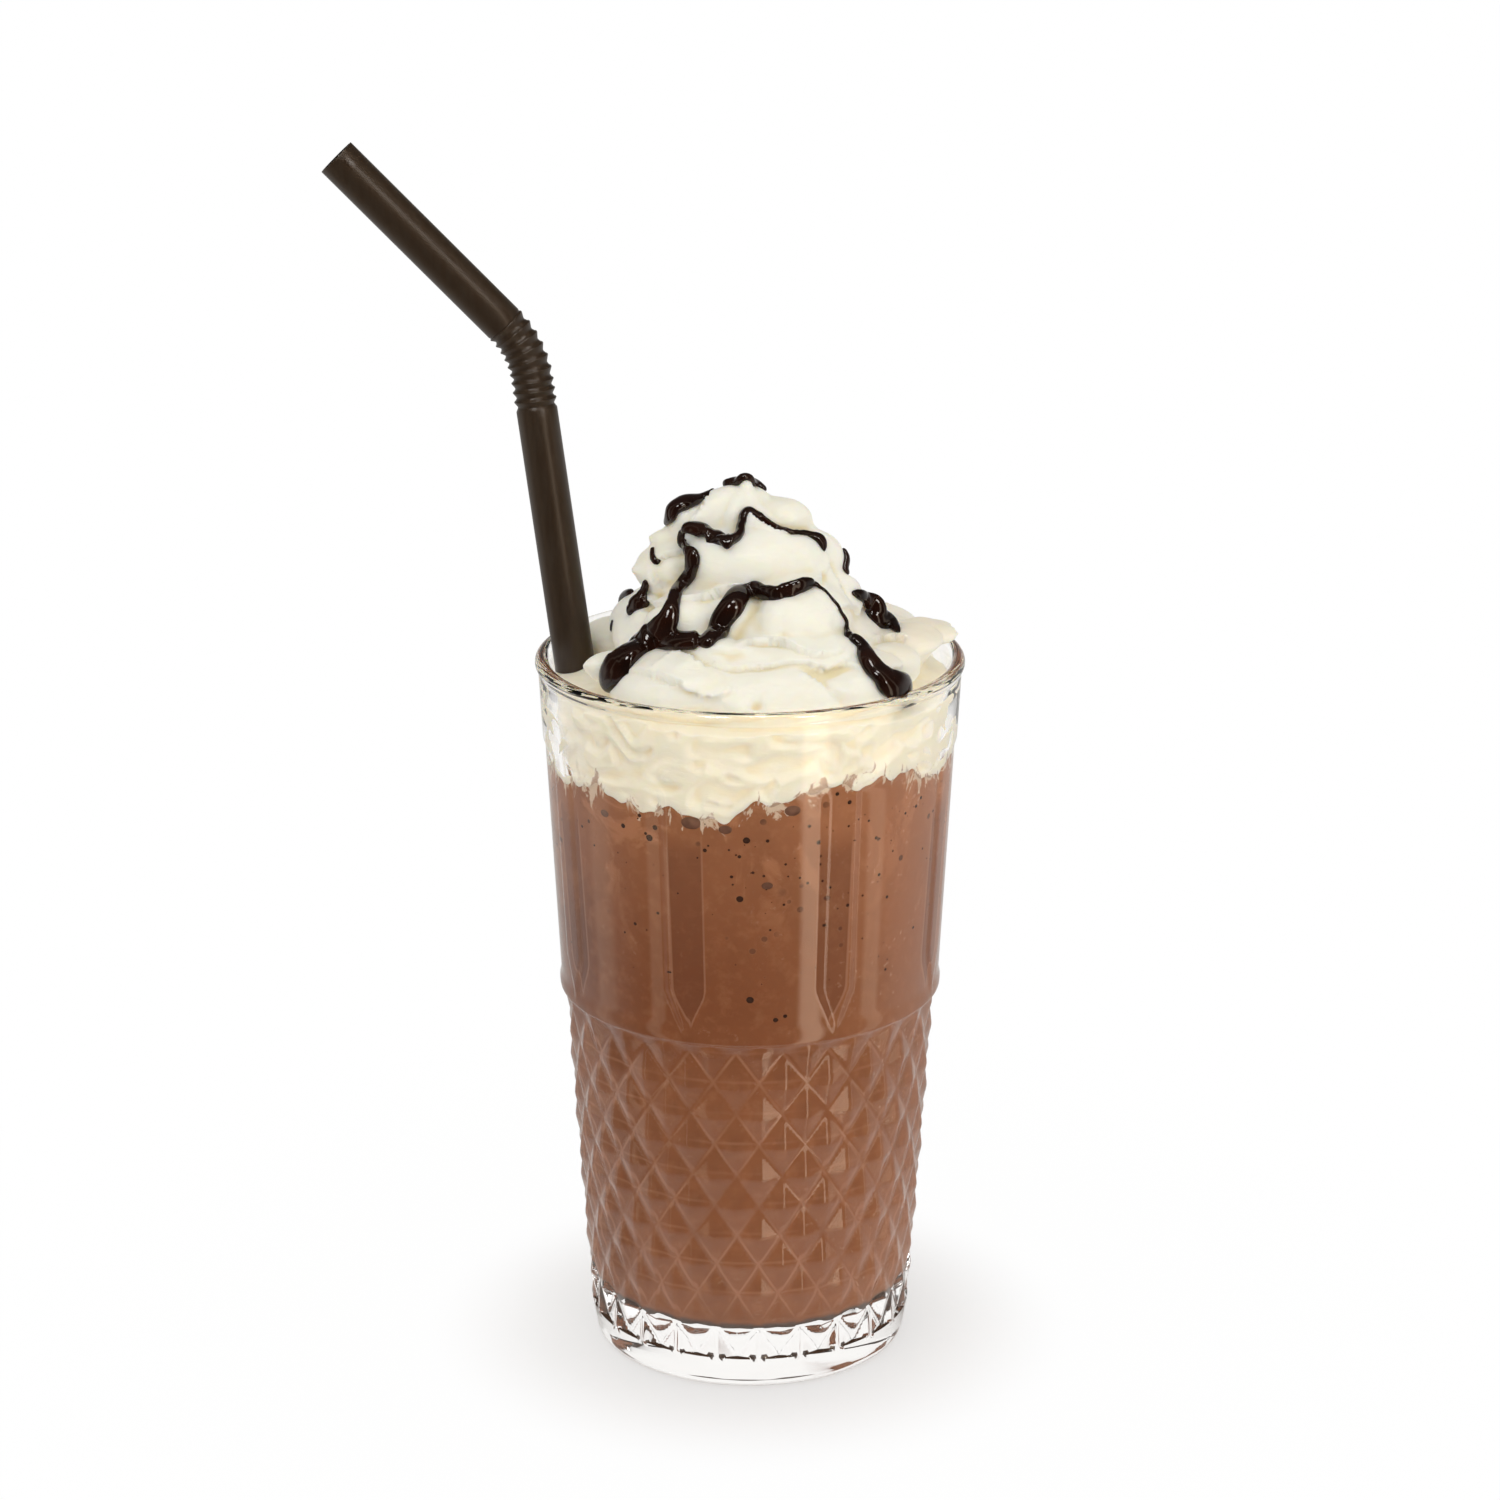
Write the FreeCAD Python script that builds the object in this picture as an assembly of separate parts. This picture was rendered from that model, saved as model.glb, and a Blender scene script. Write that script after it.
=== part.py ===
import FreeCAD, Part
import math
import os

# Chocolate milkshake in a pressed tumbler, with whipped cream and a bendy straw.
# Millimetres. Origin at the centre of the tumbler's flat base, +Z up.
# The straw leans towards -X. Azimuths turn from +X towards +Y.

# ---- tumbler: overall sizes ----
glass_height = 143.8
rim_diameter = 84.2

# ---- tumbler: outline ----
foot_edge_radius = 1.8
foot_inset = 0.2
foot_flare = 0.9
foot_height = 7.1
band_taper_deg = 3.845
band_bulge = 0.2
step_depth = 0.9
step_lead = 2.1
step_cove = 0.1
collar_taper_deg = 3.05
bead_thickness = 2.75
bead_stand_out = 0.6

# ---- tumbler: cavity ----
floor_thickness = 11.5
wall_at_rim = 2.35
wall_at_floor = 4.0
floor_corner_radius = 5.0

# ---- tumbler: raised diamonds ----
diamond_columns = 24
diamond_rows = 10
diamond_row_pitch = 6.62
diamond_relief = 0.6
diamond_start_deg = -94.5

# ---- tumbler: shallow panels between the pillars ----
panel_count = 8
panel_recess = 0.4
panel_bottom_gap = 1.6
panel_top_gap = 16.8
pillar_width = 7.0
pillar_point_height = 9.0
pillar_start_deg = -64.3

# ---- fits ----
fill_gap = 0.2
seat_gap = 0.3
straw_fill_gap = 0.25

# ---- straw ----
straw_diameter = 8.0
straw_wall = 0.3
straw_lower_length = 181.0
straw_upper_length = 45.2
straw_rim_azimuth_deg = 175.1
straw_foot_azimuth_deg = 205.8
straw_foot_inset = 0.8
spout_azimuth_deg = 179.3
spout_rise_deg = 45.7
closed_pleats = 3
closed_pleat_pitch = 1.85
open_pleats = 6
open_pleat_pitch = 2.0
pleat_crest = 0.15
pleat_valley = 0.45

# ---- drink ----
shake_below_rim = 19.3
shake_wave = 1.9

# ---- whipped cream ----
mound_height = 34.6
mound_tip_lean = 2.2
mound_tip_azimuth_deg = 180.0
mound_shoulder_radius = 28.5
mound_shoulder_height = 8.6
brim_height = 3.6
brim_overhang = 2.2
brim_azimuth_deg = -8.0
swirl_turns = 2.6
fold_depth = 2.3
ruffle_count = 9
ruffle_depth = 1.1
cream_sides = 60
cream_rings = 30
cream_under_rings = 9

# ---- sizes that follow ----
rim_radius = rim_diameter / 2
bead_radius = bead_thickness / 2
bead_centre_radius = rim_radius - bead_radius
bead_centre_height = glass_height - bead_radius
bead_inner_radius = rim_radius - bead_thickness
band_height = diamond_rows * diamond_row_pitch
band_top = foot_height + band_height
step_bottom = band_top + step_lead
step_top = step_bottom + step_depth
collar_top = bead_centre_height - bead_radius
collar_top_radius = rim_radius - bead_stand_out
collar_widening = (collar_top - step_top) * math.tan(math.radians(collar_taper_deg))
collar_bottom_radius = collar_top_radius - collar_widening
band_top_radius = collar_bottom_radius - step_depth - step_cove
band_widening = band_height * math.tan(math.radians(band_taper_deg))
band_bottom_radius = band_top_radius - band_widening
foot_top_radius = band_bottom_radius - foot_inset
foot_radius = foot_top_radius - foot_flare
wall_top_radius = collar_top_radius - wall_at_rim
wall_floor_radius = band_bottom_radius - wall_at_floor
corner_top = floor_thickness + floor_corner_radius
floor_flat_radius = wall_floor_radius - floor_corner_radius
straw_radius = straw_diameter / 2
shake_level = glass_height - shake_below_rim


def vec(x, y, z):
    return FreeCAD.Vector(x, y, z)


def polar(radius, azimuth_deg, z):
    """Point at a radius and an azimuth round the tumbler's axis."""
    angle = math.radians(azimuth_deg)
    return vec(radius * math.cos(angle), radius * math.sin(angle), z)


def segment(a, b):
    return Part.LineSegment(vec(a[0], 0, a[1]), vec(b[0], 0, b[1])).toShape()


def arc(a, middle, b):
    start = vec(a[0], 0, a[1])
    through = vec(middle[0], 0, middle[1])
    end = vec(b[0], 0, b[1])
    return Part.Arc(start, through, end).toShape()


def lathe(edges):
    """Closed half section, given as edges in the XZ plane, turned into a solid."""
    face = Part.Face(Part.Wire(edges))
    return face.revolve(vec(0, 0, 0), vec(0, 0, 1), 360)


def faceted_solid(points, triangles):
    """Closed solid from a list of points and of index triples."""
    shape = Part.Shape()
    shape.makeShapeFromMesh((points, triangles), 0.001)
    solid = Part.Solid(Part.Shell(shape.Faces))
    if solid.Volume < 0:
        solid.reverse()
    return solid


def band_radius(z):
    """Outer radius over the diamonds' peaks at a height in the diamond band."""
    t = (z - foot_height) / band_height
    straight = band_bottom_radius + (band_top_radius - band_bottom_radius) * t
    return straight + band_bulge * 4 * t * (1 - t)


def cavity_radius(z, inset):
    """Radius of the inner wall at a height, less an inset; the wall is a straight taper."""
    t = (z - corner_top) / (collar_top - corner_top)
    straight = wall_floor_radius + (wall_top_radius - wall_floor_radius) * t
    return straight - inset


# ---- tumbler ----
def glass_foot():
    """Smooth foot: flat base, rounded edge and a slight flare up to the diamonds."""
    k = foot_edge_radius
    c = k * math.sqrt(0.5)
    flat = foot_radius - k
    edges = [
        segment((0, 0), (flat, 0)),
        arc((flat, 0), (flat + c, k - c), (foot_radius, k)),
        segment((foot_radius, k), (foot_top_radius, foot_height)),
        segment((foot_top_radius, foot_height), (0, foot_height)),
        segment((0, foot_height), (0, 0)),
    ]
    return lathe(edges)


def glass_band():
    """Band of raised four-sided diamonds in staggered rows, as one faceted solid."""
    sides = 2 * diamond_columns
    turn = 360.0 / sides
    points = []
    for j in range(diamond_rows + 1):
        z = foot_height + j * diamond_row_pitch
        for i in range(sides):
            radius = band_radius(z)
            if (i + j) % 2 == 0:
                radius = radius - diamond_relief
            points.append(polar(radius, diamond_start_deg + i * turn, z))
    triangles = []
    for j in range(diamond_rows):
        for i in range(sides):
            a = j * sides + i
            b = j * sides + (i + 1) % sides
            c = a + sides
            d = b + sides
            if (i + j) % 2 == 0:
                triangles.append((a, b, d))
                triangles.append((a, d, c))
            else:
                triangles.append((a, b, c))
                triangles.append((b, d, c))
    bottom = len(points)
    points.append(vec(0, 0, foot_height))
    top = len(points)
    points.append(vec(0, 0, band_top))
    last = diamond_rows * sides
    for i in range(sides):
        triangles.append((bottom, (i + 1) % sides, i))
        triangles.append((top, last + i, last + (i + 1) % sides))
    return faceted_solid(points, triangles)


def collar_radius(z):
    """Outer radius of the smooth collar, which widens evenly above the step."""
    lean = (collar_top_radius - collar_bottom_radius) / (collar_top - step_top)
    return collar_bottom_radius + lean * (z - step_top)


def glass_collar():
    """Step over the diamonds, the widening collar and the outer half of the rim's bead."""
    k = step_depth
    c = k * math.sqrt(0.5)
    low = collar_bottom_radius - k
    neck = band_top_radius
    b = bead_radius
    bc = b * math.sqrt(0.5)
    drop = collar_top
    edges = [
        segment((0, band_top), (neck, band_top)),
        segment((neck, band_top), (low, step_bottom)),
        arc((low, step_bottom), (low + c, step_top - c), (collar_bottom_radius, step_top)),
        segment((collar_bottom_radius, step_top), (collar_top_radius, drop)),
        segment((collar_top_radius, drop), (rim_radius, bead_centre_height)),
        arc(
            (rim_radius, bead_centre_height),
            (bead_centre_radius + bc, bead_centre_height + bc),
            (bead_centre_radius, glass_height),
        ),
        segment((bead_centre_radius, glass_height), (0, glass_height)),
        segment((0, glass_height), (0, band_top)),
    ]
    return lathe(edges)


def glass_cavity():
    """Room inside the tumbler, with the inner half of the bead at its mouth."""
    k = floor_corner_radius
    c = k * math.sqrt(0.5)
    b = bead_radius
    bc = b * math.sqrt(0.5)
    over = glass_height + 5
    edges = [
        segment((0, floor_thickness), (floor_flat_radius, floor_thickness)),
        arc(
            (floor_flat_radius, floor_thickness),
            (floor_flat_radius + c, corner_top - c),
            (wall_floor_radius, corner_top),
        ),
        segment((wall_floor_radius, corner_top), (wall_top_radius, collar_top)),
        segment((wall_top_radius, collar_top), (bead_inner_radius, bead_centre_height)),
        arc(
            (bead_inner_radius, bead_centre_height),
            (bead_centre_radius - bc, bead_centre_height + bc),
            (bead_centre_radius, glass_height),
        ),
        segment((bead_centre_radius, glass_height), (bead_centre_radius, over)),
        segment((bead_centre_radius, over), (0, over)),
        segment((0, over), (0, floor_thickness)),
    ]
    return lathe(edges)


def panel_cutters():
    """Ring one recess deep over the collar, less the pillars that stay standing."""
    low = step_top + panel_bottom_gap
    high = glass_height - panel_top_gap
    out = rim_radius + 10
    edges = [
        segment((collar_radius(low) - panel_recess, low), (out, low)),
        segment((out, low), (out, high)),
        segment((out, high), (collar_radius(high) - panel_recess, high)),
        segment(
            (collar_radius(high) - panel_recess, high),
            (collar_radius(low) - panel_recess, low),
        ),
    ]
    ring = lathe(edges)
    half = pillar_width / 2
    shoulder = low + pillar_point_height
    near = collar_bottom_radius / 2
    outline = [
        vec(near, 0, low - 0.5),
        vec(near, half, shoulder),
        vec(near, half, high + 1),
        vec(near, -half, high + 1),
        vec(near, -half, shoulder),
        vec(near, 0, low - 0.5),
    ]
    for k in range(panel_count):
        pillar = Part.Face(Part.makePolygon(outline)).extrude(vec(out, 0, 0))
        azimuth = pillar_start_deg + k * 360.0 / panel_count
        pillar.rotate(vec(0, 0, 0), vec(0, 0, 1), azimuth)
        ring = ring.cut(pillar)
    return ring


def make_glass():
    body = glass_foot().fuse(glass_band())
    body = body.fuse(glass_collar())
    body = body.cut(panel_cutters())
    body = body.cut(glass_cavity())
    return body


# ---- straw ----
def straw_path():
    """Foot point, direction up the lower arm and direction of the upper arm."""
    rim_reach = bead_inner_radius - straw_radius - seat_gap
    foot_reach = floor_flat_radius - straw_radius - straw_foot_inset
    top = polar(rim_reach, straw_rim_azimuth_deg, glass_height)
    foot = polar(foot_reach, straw_foot_azimuth_deg, floor_thickness + seat_gap)
    up = (top - foot).normalize()
    tilt = math.acos(up.z)
    foot = foot + up * (straw_radius * math.sin(tilt) / up.z)
    rise = math.radians(spout_rise_deg)
    flat = polar(math.cos(rise), spout_azimuth_deg, math.sin(rise))
    return foot, up, flat


def straw_stations():
    """Centre, direction and outer radius of every ring from the foot to the mouth."""
    foot, up, out = straw_path()
    side = (out - up * up.dot(out)).normalize()
    stations = [(foot, up, straw_radius)]
    point = foot + up * straw_lower_length
    stations.append((point, up, straw_radius))
    crest = straw_radius + pleat_crest
    valley = straw_radius - pleat_valley
    for k in range(closed_pleats):
        start = point + up * (k * closed_pleat_pitch)
        stations.append((start + up * (0.3 * closed_pleat_pitch), up, valley))
        stations.append((start + up * (0.8 * closed_pleat_pitch), up, crest))
    point = point + up * (closed_pleats * closed_pleat_pitch)
    bend = math.acos(up.dot(out))
    length = open_pleats * open_pleat_pitch
    radius = length / bend
    for k in range(open_pleats):
        for share, reach in ((0.3, valley), (0.8, crest)):
            angle = bend * (k + share) / open_pleats
            along = up * (radius * math.sin(angle))
            across = side * (radius * (1 - math.cos(angle)))
            heading = up * math.cos(angle) + side * math.sin(angle)
            stations.append((point + along + across, heading, reach))
    along = up * (radius * math.sin(bend))
    across = side * (radius * (1 - math.cos(bend)))
    point = point + along + across
    stations.append((point + out * 0.4, out, straw_radius))
    stations.append((point + out * straw_upper_length, out, straw_radius))
    return stations


def tube(stations, inset, spare):
    """Ruled skin through the rings, drawn in by an inset and run past both ends."""
    wires = []
    last = len(stations) - 1
    for k, (centre, heading, radius) in enumerate(stations):
        if k == 0:
            centre = centre - heading * spare
        if k == last:
            centre = centre + heading * spare
        circle = Part.Circle(centre, heading, radius - inset)
        wires.append(Part.Wire(circle.toShape()))
    return Part.makeLoft(wires, True, True)


def make_straw():
    stations = straw_stations()
    outer = tube(stations, 0, 0)
    bore = tube(stations, straw_wall, 1.0)
    return outer.cut(bore)


def straw_clearance():
    """Round bar that leaves the straw's lower arm free in what it stands in."""
    foot, up, out = straw_path()
    start = foot - up * 10
    length = straw_lower_length + 10
    return Part.makeCylinder(straw_radius + straw_fill_gap, length, start, up)


# ---- drink ----
def shake_surface(x, y):
    """Height of the uneven boundary between the drink and the cream."""
    across = math.sin(x * 0.083 + 0.6) * math.cos(y * 0.061 - 0.4)
    fine = 0.35 * math.sin(x * 0.19 - y * 0.16 + 1.1)
    return shake_level + shake_wave * (across + fine)


def make_shake():
    """Drink up to its uneven surface, clear of the wall and cut round the straw."""
    k = floor_corner_radius - fill_gap
    c = k * math.sqrt(0.5)
    bottom = floor_thickness + fill_gap
    top = shake_level + 4 * shake_wave
    wall_foot = wall_floor_radius - fill_gap
    wall_top = cavity_radius(top, fill_gap)
    edges = [
        segment((0, bottom), (floor_flat_radius, bottom)),
        arc(
            (floor_flat_radius, bottom),
            (floor_flat_radius + c, corner_top - c),
            (wall_foot, corner_top),
        ),
        segment((wall_foot, corner_top), (wall_top, top)),
        segment((wall_top, top), (0, top)),
        segment((0, top), (0, bottom)),
    ]
    body = lathe(edges)
    reach = wall_top + 4
    count = 25
    rows = []
    for i in range(count):
        x = reach * (2.0 * i / (count - 1) - 1)
        row = []
        for j in range(count):
            y = reach * (2.0 * j / (count - 1) - 1)
            row.append(vec(x, y, shake_surface(x, y) - seat_gap / 2))
        rows.append(row)
    surface = Part.BSplineSurface()
    surface.interpolate(rows)
    above = surface.toShape().extrude(vec(0, 0, 8 * shake_wave))
    body = body.cut(above)
    return body.cut(straw_clearance())


# ---- whipped cream ----
def smooth(a, b, t):
    """Even blend from 0 to 1 while t runs from a to b."""
    u = min(1.0, max(0.0, (t - a) / (b - a)))
    return u * u * (3 - 2 * u)


def cream_point(share, azimuth_deg):
    """Point on the cream's upper surface; share runs from 0 at the brim to 1 at the tip."""
    angle = math.radians(azimuth_deg)
    facing = 0.5 + 0.5 * math.cos(angle - math.radians(brim_azimuth_deg))
    brim_radius = bead_inner_radius - fill_gap + brim_overhang * facing
    spread = 0.26
    if share < spread:
        t = share / spread
        radius = brim_radius + (mound_shoulder_radius - brim_radius) * t
        swell = math.sin(math.pi * min(1.0, t * 1.1))
        height = brim_height * facing * (1 - t) + mound_shoulder_height * t * t
        height = height + 1.2 * swell
        folds = ruffle_depth * math.sin(ruffle_count * angle + 5 * t) * swell
        radius = radius + 0.4 * folds
        height = height + folds
    else:
        t = (share - spread) / (1 - spread)
        radius = mound_shoulder_radius * (1 - t) ** 0.72
        climb = mound_height - mound_shoulder_height
        height = mound_shoulder_height + climb * t ** 0.92
        phase = 2 * math.pi * swirl_turns * t + angle
        fade = smooth(0, 0.12, t) * (1 - 0.75 * smooth(0.6, 1.0, t))
        ridge = abs(math.sin(phase / 2)) ** 0.7 - 0.62
        fold = fold_depth * ridge * fade
        radius = max(0.0, radius + fold * (1 - t ** 4))
        height = height + 0.35 * fold
    lean = mound_tip_lean * smooth(0.35, 1.0, share)
    shift = polar(lean, mound_tip_azimuth_deg, 0)
    return polar(radius, azimuth_deg, glass_height + height) + shift


def make_cream():
    """Whipped cream from the drink's surface to its tip, cut round the straw."""
    turn = 360.0 / cream_sides
    rings = []
    for k in range(cream_under_rings):
        rings.append(("under", (k + 1.0) / (cream_under_rings + 1.0)))
    for share in (0.0, 0.3, 0.6, 0.85):
        rings.append(("wall", share))
    rings.append(("mouth", 0.0))
    for k in range(cream_rings):
        rings.append(("top", k / float(cream_rings)))
    points = []
    for kind, share in rings:
        for i in range(cream_sides):
            azimuth = i * turn
            foot_radius_here = cavity_radius(shake_level, fill_gap)
            if kind == "under":
                spot = polar(foot_radius_here * share, azimuth, 0)
                level = shake_surface(spot.x, spot.y) + seat_gap / 2
                point = vec(spot.x, spot.y, level)
            elif kind == "wall":
                spot = polar(foot_radius_here, azimuth, 0)
                low = shake_surface(spot.x, spot.y) + seat_gap / 2
                z = low + (collar_top - low) * share
                point = polar(cavity_radius(z, fill_gap), azimuth, z)
            elif kind == "mouth":
                radius = min(wall_top_radius, bead_inner_radius) - fill_gap
                point = polar(radius, azimuth, glass_height)
            else:
                point = cream_point(share, azimuth)
                point.z = max(point.z, glass_height + seat_gap)
            points.append(point)
    triangles = []
    for j in range(len(rings) - 1):
        for i in range(cream_sides):
            a = j * cream_sides + i
            b = j * cream_sides + (i + 1) % cream_sides
            c = a + cream_sides
            d = b + cream_sides
            triangles.append((a, b, d))
            triangles.append((a, d, c))
    bottom = len(points)
    points.append(vec(0, 0, shake_surface(0, 0) + seat_gap / 2))
    top = len(points)
    points.append(cream_point(1.0, 0))
    last = (len(rings) - 1) * cream_sides
    for i in range(cream_sides):
        triangles.append((bottom, (i + 1) % cream_sides, i))
        triangles.append((top, last + i, last + (i + 1) % cream_sides))
    body = faceted_solid(points, triangles)
    return body.cut(straw_clearance())


os.makedirs("parts", exist_ok=True)
nodes = {
    "glass": make_glass(),
    "straw": make_straw(),
    "milkshake": make_shake(),
    "whipped_cream": make_cream(),
}
for name, shape in nodes.items():
    if len(shape.Solids) == 1:
        shape = shape.Solids[0]
    shape.exportStep("parts/" + name + ".step")
    print(name, len(shape.Solids), shape.isValid(), round(shape.Volume / 1000.0, 2), "cm3")
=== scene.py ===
"""A chocolate milkshake in a pressed tumbler, with whipped cream, sauce and a bendy straw."""

import logging
import math
import random
from dataclasses import dataclass, field
from enum import Enum
from typing import Sequence

import bpy
import numpy as np
from mathutils import Matrix, Vector, noise
from mathutils.bvhtree import BVHTree


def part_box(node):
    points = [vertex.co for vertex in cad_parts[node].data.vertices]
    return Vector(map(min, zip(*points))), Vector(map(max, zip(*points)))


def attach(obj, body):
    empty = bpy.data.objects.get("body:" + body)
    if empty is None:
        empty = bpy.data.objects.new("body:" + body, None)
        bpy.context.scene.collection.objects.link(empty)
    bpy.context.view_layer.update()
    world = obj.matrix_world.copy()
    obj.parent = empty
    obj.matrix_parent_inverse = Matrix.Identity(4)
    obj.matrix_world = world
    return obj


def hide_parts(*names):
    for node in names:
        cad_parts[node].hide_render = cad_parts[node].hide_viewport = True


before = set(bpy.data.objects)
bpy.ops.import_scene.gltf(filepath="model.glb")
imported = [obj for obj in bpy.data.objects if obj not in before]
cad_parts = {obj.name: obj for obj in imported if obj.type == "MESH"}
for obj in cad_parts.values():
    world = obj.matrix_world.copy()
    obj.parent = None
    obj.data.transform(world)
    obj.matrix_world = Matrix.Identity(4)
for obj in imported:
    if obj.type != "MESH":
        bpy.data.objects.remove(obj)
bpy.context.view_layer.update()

MM = 0.001
TINY = 1e-6
Profile = list[tuple[float, float]]
Colour = tuple[float, float, float]

logging.basicConfig(level=logging.INFO, format="%(name)s: %(message)s")
LOG = logging.getLogger("milkshake")


# --------------------------------------------------------------------------------------
# Tools of the bench
# --------------------------------------------------------------------------------------


def put_down() -> None:
    """Leave edit mode and deselect every object."""
    if bpy.context.object is not None and bpy.context.object.mode != "OBJECT":
        bpy.ops.object.mode_set(mode="OBJECT")
    bpy.ops.object.select_all(action="DESELECT")


def pick_up(piece: bpy.types.Object) -> None:
    """Make one object the only one selected and the active one."""
    put_down()
    piece.select_set(True)
    bpy.context.view_layer.objects.active = piece


def named(piece: bpy.types.Object, name: str) -> bpy.types.Object:
    """Give an object and its mesh one name."""
    piece.name = name
    piece.data.name = name
    return piece


def settle(piece: bpy.types.Object) -> bpy.types.Object:
    """Put an object's place, turn and size into its mesh.

    Args:
        piece: The object to settle.

    Returns:
        The same object, at the origin.
    """
    pick_up(piece)
    bpy.ops.object.transform_apply(location=True, rotation=True, scale=True)
    return piece


def finish_modifier(piece: bpy.types.Object, kind: str, **settings: object) -> None:
    """Add a modifier with its settings and apply it at once.

    Args:
        piece: The object that gets the modifier.
        kind: The modifier's type, such as "REMESH".
        **settings: Values for the modifier's properties.
    """
    pick_up(piece)
    modifier = piece.modifiers.new(kind.lower(), kind)
    for key, value in settings.items():
        setattr(modifier, key, value)
    bpy.ops.object.modifier_apply(modifier=modifier.name)


def coordinates(piece: bpy.types.Object) -> np.ndarray:
    """Return the mesh's points as an array with one row each, in metres."""
    points = np.empty(len(piece.data.vertices) * 3)
    piece.data.vertices.foreach_get("co", points)
    return points.reshape(-1, 3)


def put_coordinates(piece: bpy.types.Object, points: np.ndarray) -> None:
    """Write the mesh's points back from an array."""
    piece.data.vertices.foreach_set("co", np.asarray(points, float).ravel())
    piece.data.update()


def normals_of(piece: bpy.types.Object) -> np.ndarray:
    """Return the outward direction at each of the mesh's points."""
    normals = np.empty(len(piece.data.vertices) * 3)
    piece.data.vertices.foreach_get("normal", normals)
    return normals.reshape(-1, 3)


def polar(points: np.ndarray) -> tuple[np.ndarray, np.ndarray]:
    """Return the distance from the axis and the azimuth in degrees of each point."""
    radius = np.hypot(points[:, 0], points[:, 1])
    return radius, np.degrees(np.arctan2(points[:, 1], points[:, 0]))


def move_out(points: np.ndarray, radius: np.ndarray, wanted: np.ndarray) -> None:
    """Move points towards or away from the axis, in place.

    Args:
        points: The points, one row each.
        radius: Their distances from the axis.
        wanted: The distances that they get.
    """
    points[:, :2] *= (wanted / np.maximum(radius, TINY))[:, None]


def mark(piece: bpy.types.Object, name: str, values: np.ndarray) -> None:
    """Store one value on each vertex for the piece's material.

    Args:
        piece: The object that gets the attribute.
        name: The attribute's name.
        values: One value for every vertex.
    """
    layer = piece.data.attributes.new(name, "FLOAT", "POINT")
    layer.data.foreach_set("value", values.astype(np.float32))


def pick_vertices(piece: bpy.types.Object, wanted: np.ndarray) -> None:
    """Select the vertices that an array marks, and enter edit mode on them.

    Args:
        piece: The object to work on.
        wanted: One true or false for every vertex.
    """
    pick_up(piece)
    bpy.ops.object.mode_set(mode="EDIT")
    bpy.ops.mesh.select_mode(type="VERT")
    bpy.ops.mesh.select_all(action="DESELECT")
    bpy.ops.object.mode_set(mode="OBJECT")
    piece.data.vertices.foreach_set("select", np.asarray(wanted, bool))
    bpy.ops.object.mode_set(mode="EDIT")


def joined(parts: Sequence[bpy.types.Object]) -> bpy.types.Object:
    """Join objects into the first of them and return it."""
    put_down()
    for part in parts:
        part.select_set(True)
    bpy.context.view_layer.objects.active = parts[0]
    bpy.ops.object.join()
    return bpy.context.object


def turned(name: str, outline: Profile, sides: int, start_deg: float = 0.0) -> bpy.types.Object:
    """Spin an outline round the Z axis into a closed turned piece.

    Args:
        name: The new object's name.
        outline: Radius and height of each point, in millimetres, from pole to pole.
        sides: How many columns of faces go round.
        start_deg: Azimuth of the first column.

    Returns:
        The turned object, with its faces outwards.
    """
    put_down()
    turn = math.radians(start_deg)
    reach = Vector((math.cos(turn), math.sin(turn), 0.0))
    places = [reach * (r * MM) + Vector((0.0, 0.0, z * MM)) for r, z in outline]
    bpy.ops.mesh.primitive_plane_add(size=0.01, location=places[0])
    piece = settle(bpy.context.object)
    bpy.ops.object.mode_set(mode="EDIT")
    bpy.ops.mesh.select_all(action="SELECT")
    bpy.ops.mesh.merge(type="CENTER")
    for here, there in zip(places, places[1:]):
        step = there - here
        bpy.ops.mesh.extrude_region_move(TRANSFORM_OT_translate={"value": step})
    bpy.ops.mesh.select_all(action="SELECT")
    bpy.ops.mesh.spin(steps=sides, angle=math.tau, center=(0.0, 0.0, 0.0), axis=(0.0, 0.0, 1.0))
    bpy.ops.mesh.select_all(action="SELECT")
    bpy.ops.mesh.remove_doubles(threshold=TINY)
    bpy.ops.mesh.normals_make_consistent(inside=False)
    put_down()
    return named(piece, name)


def smooth_faces(piece: bpy.types.Object, angle_deg: float | None = None) -> None:
    """Shade a piece smooth, all over or only under an angle.

    Args:
        piece: The object to shade.
        angle_deg: Edges sharper than this stay sharp; None smooths them all.
    """
    pick_up(piece)
    if angle_deg is None:
        bpy.ops.object.shade_smooth()
    else:
        bpy.ops.object.shade_smooth_by_angle(angle=math.radians(angle_deg))
    put_down()


def arc_points(cr: float, cz: float, radius: float, a: float, b: float, count: int) -> Profile:
    """Return points on an arc in the radius and height plane.

    Args:
        cr: Radius of the arc's centre.
        cz: Height of the arc's centre.
        radius: The arc's own radius.
        a: Start angle in degrees, where 0 points away from the axis and 90 up.
        b: End angle in degrees.
        count: How many steps the arc has.

    Returns:
        The points, both ends included.
    """
    turns = [math.radians(a + (b - a) * k / count) for k in range(count + 1)]
    return [(cr + radius * math.cos(t), cz + radius * math.sin(t)) for t in turns]


def line_points(a: tuple[float, float], b: tuple[float, float], count: int) -> Profile:
    """Return evenly spaced points on a line, without its first point."""
    shares = [(k + 1) / count for k in range(count)]
    return [(a[0] + (b[0] - a[0]) * t, a[1] + (b[1] - a[1]) * t) for t in shares]


def ease(low: float, high: float, value: np.ndarray | float) -> np.ndarray | float:
    """Blend evenly from 0 to 1 while the value runs from low to high."""
    t = np.clip((value - low) / (high - low), 0.0, 1.0)
    return t * t * (3.0 - 2.0 * t)


# --------------------------------------------------------------------------------------
# Finishes
# --------------------------------------------------------------------------------------


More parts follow.
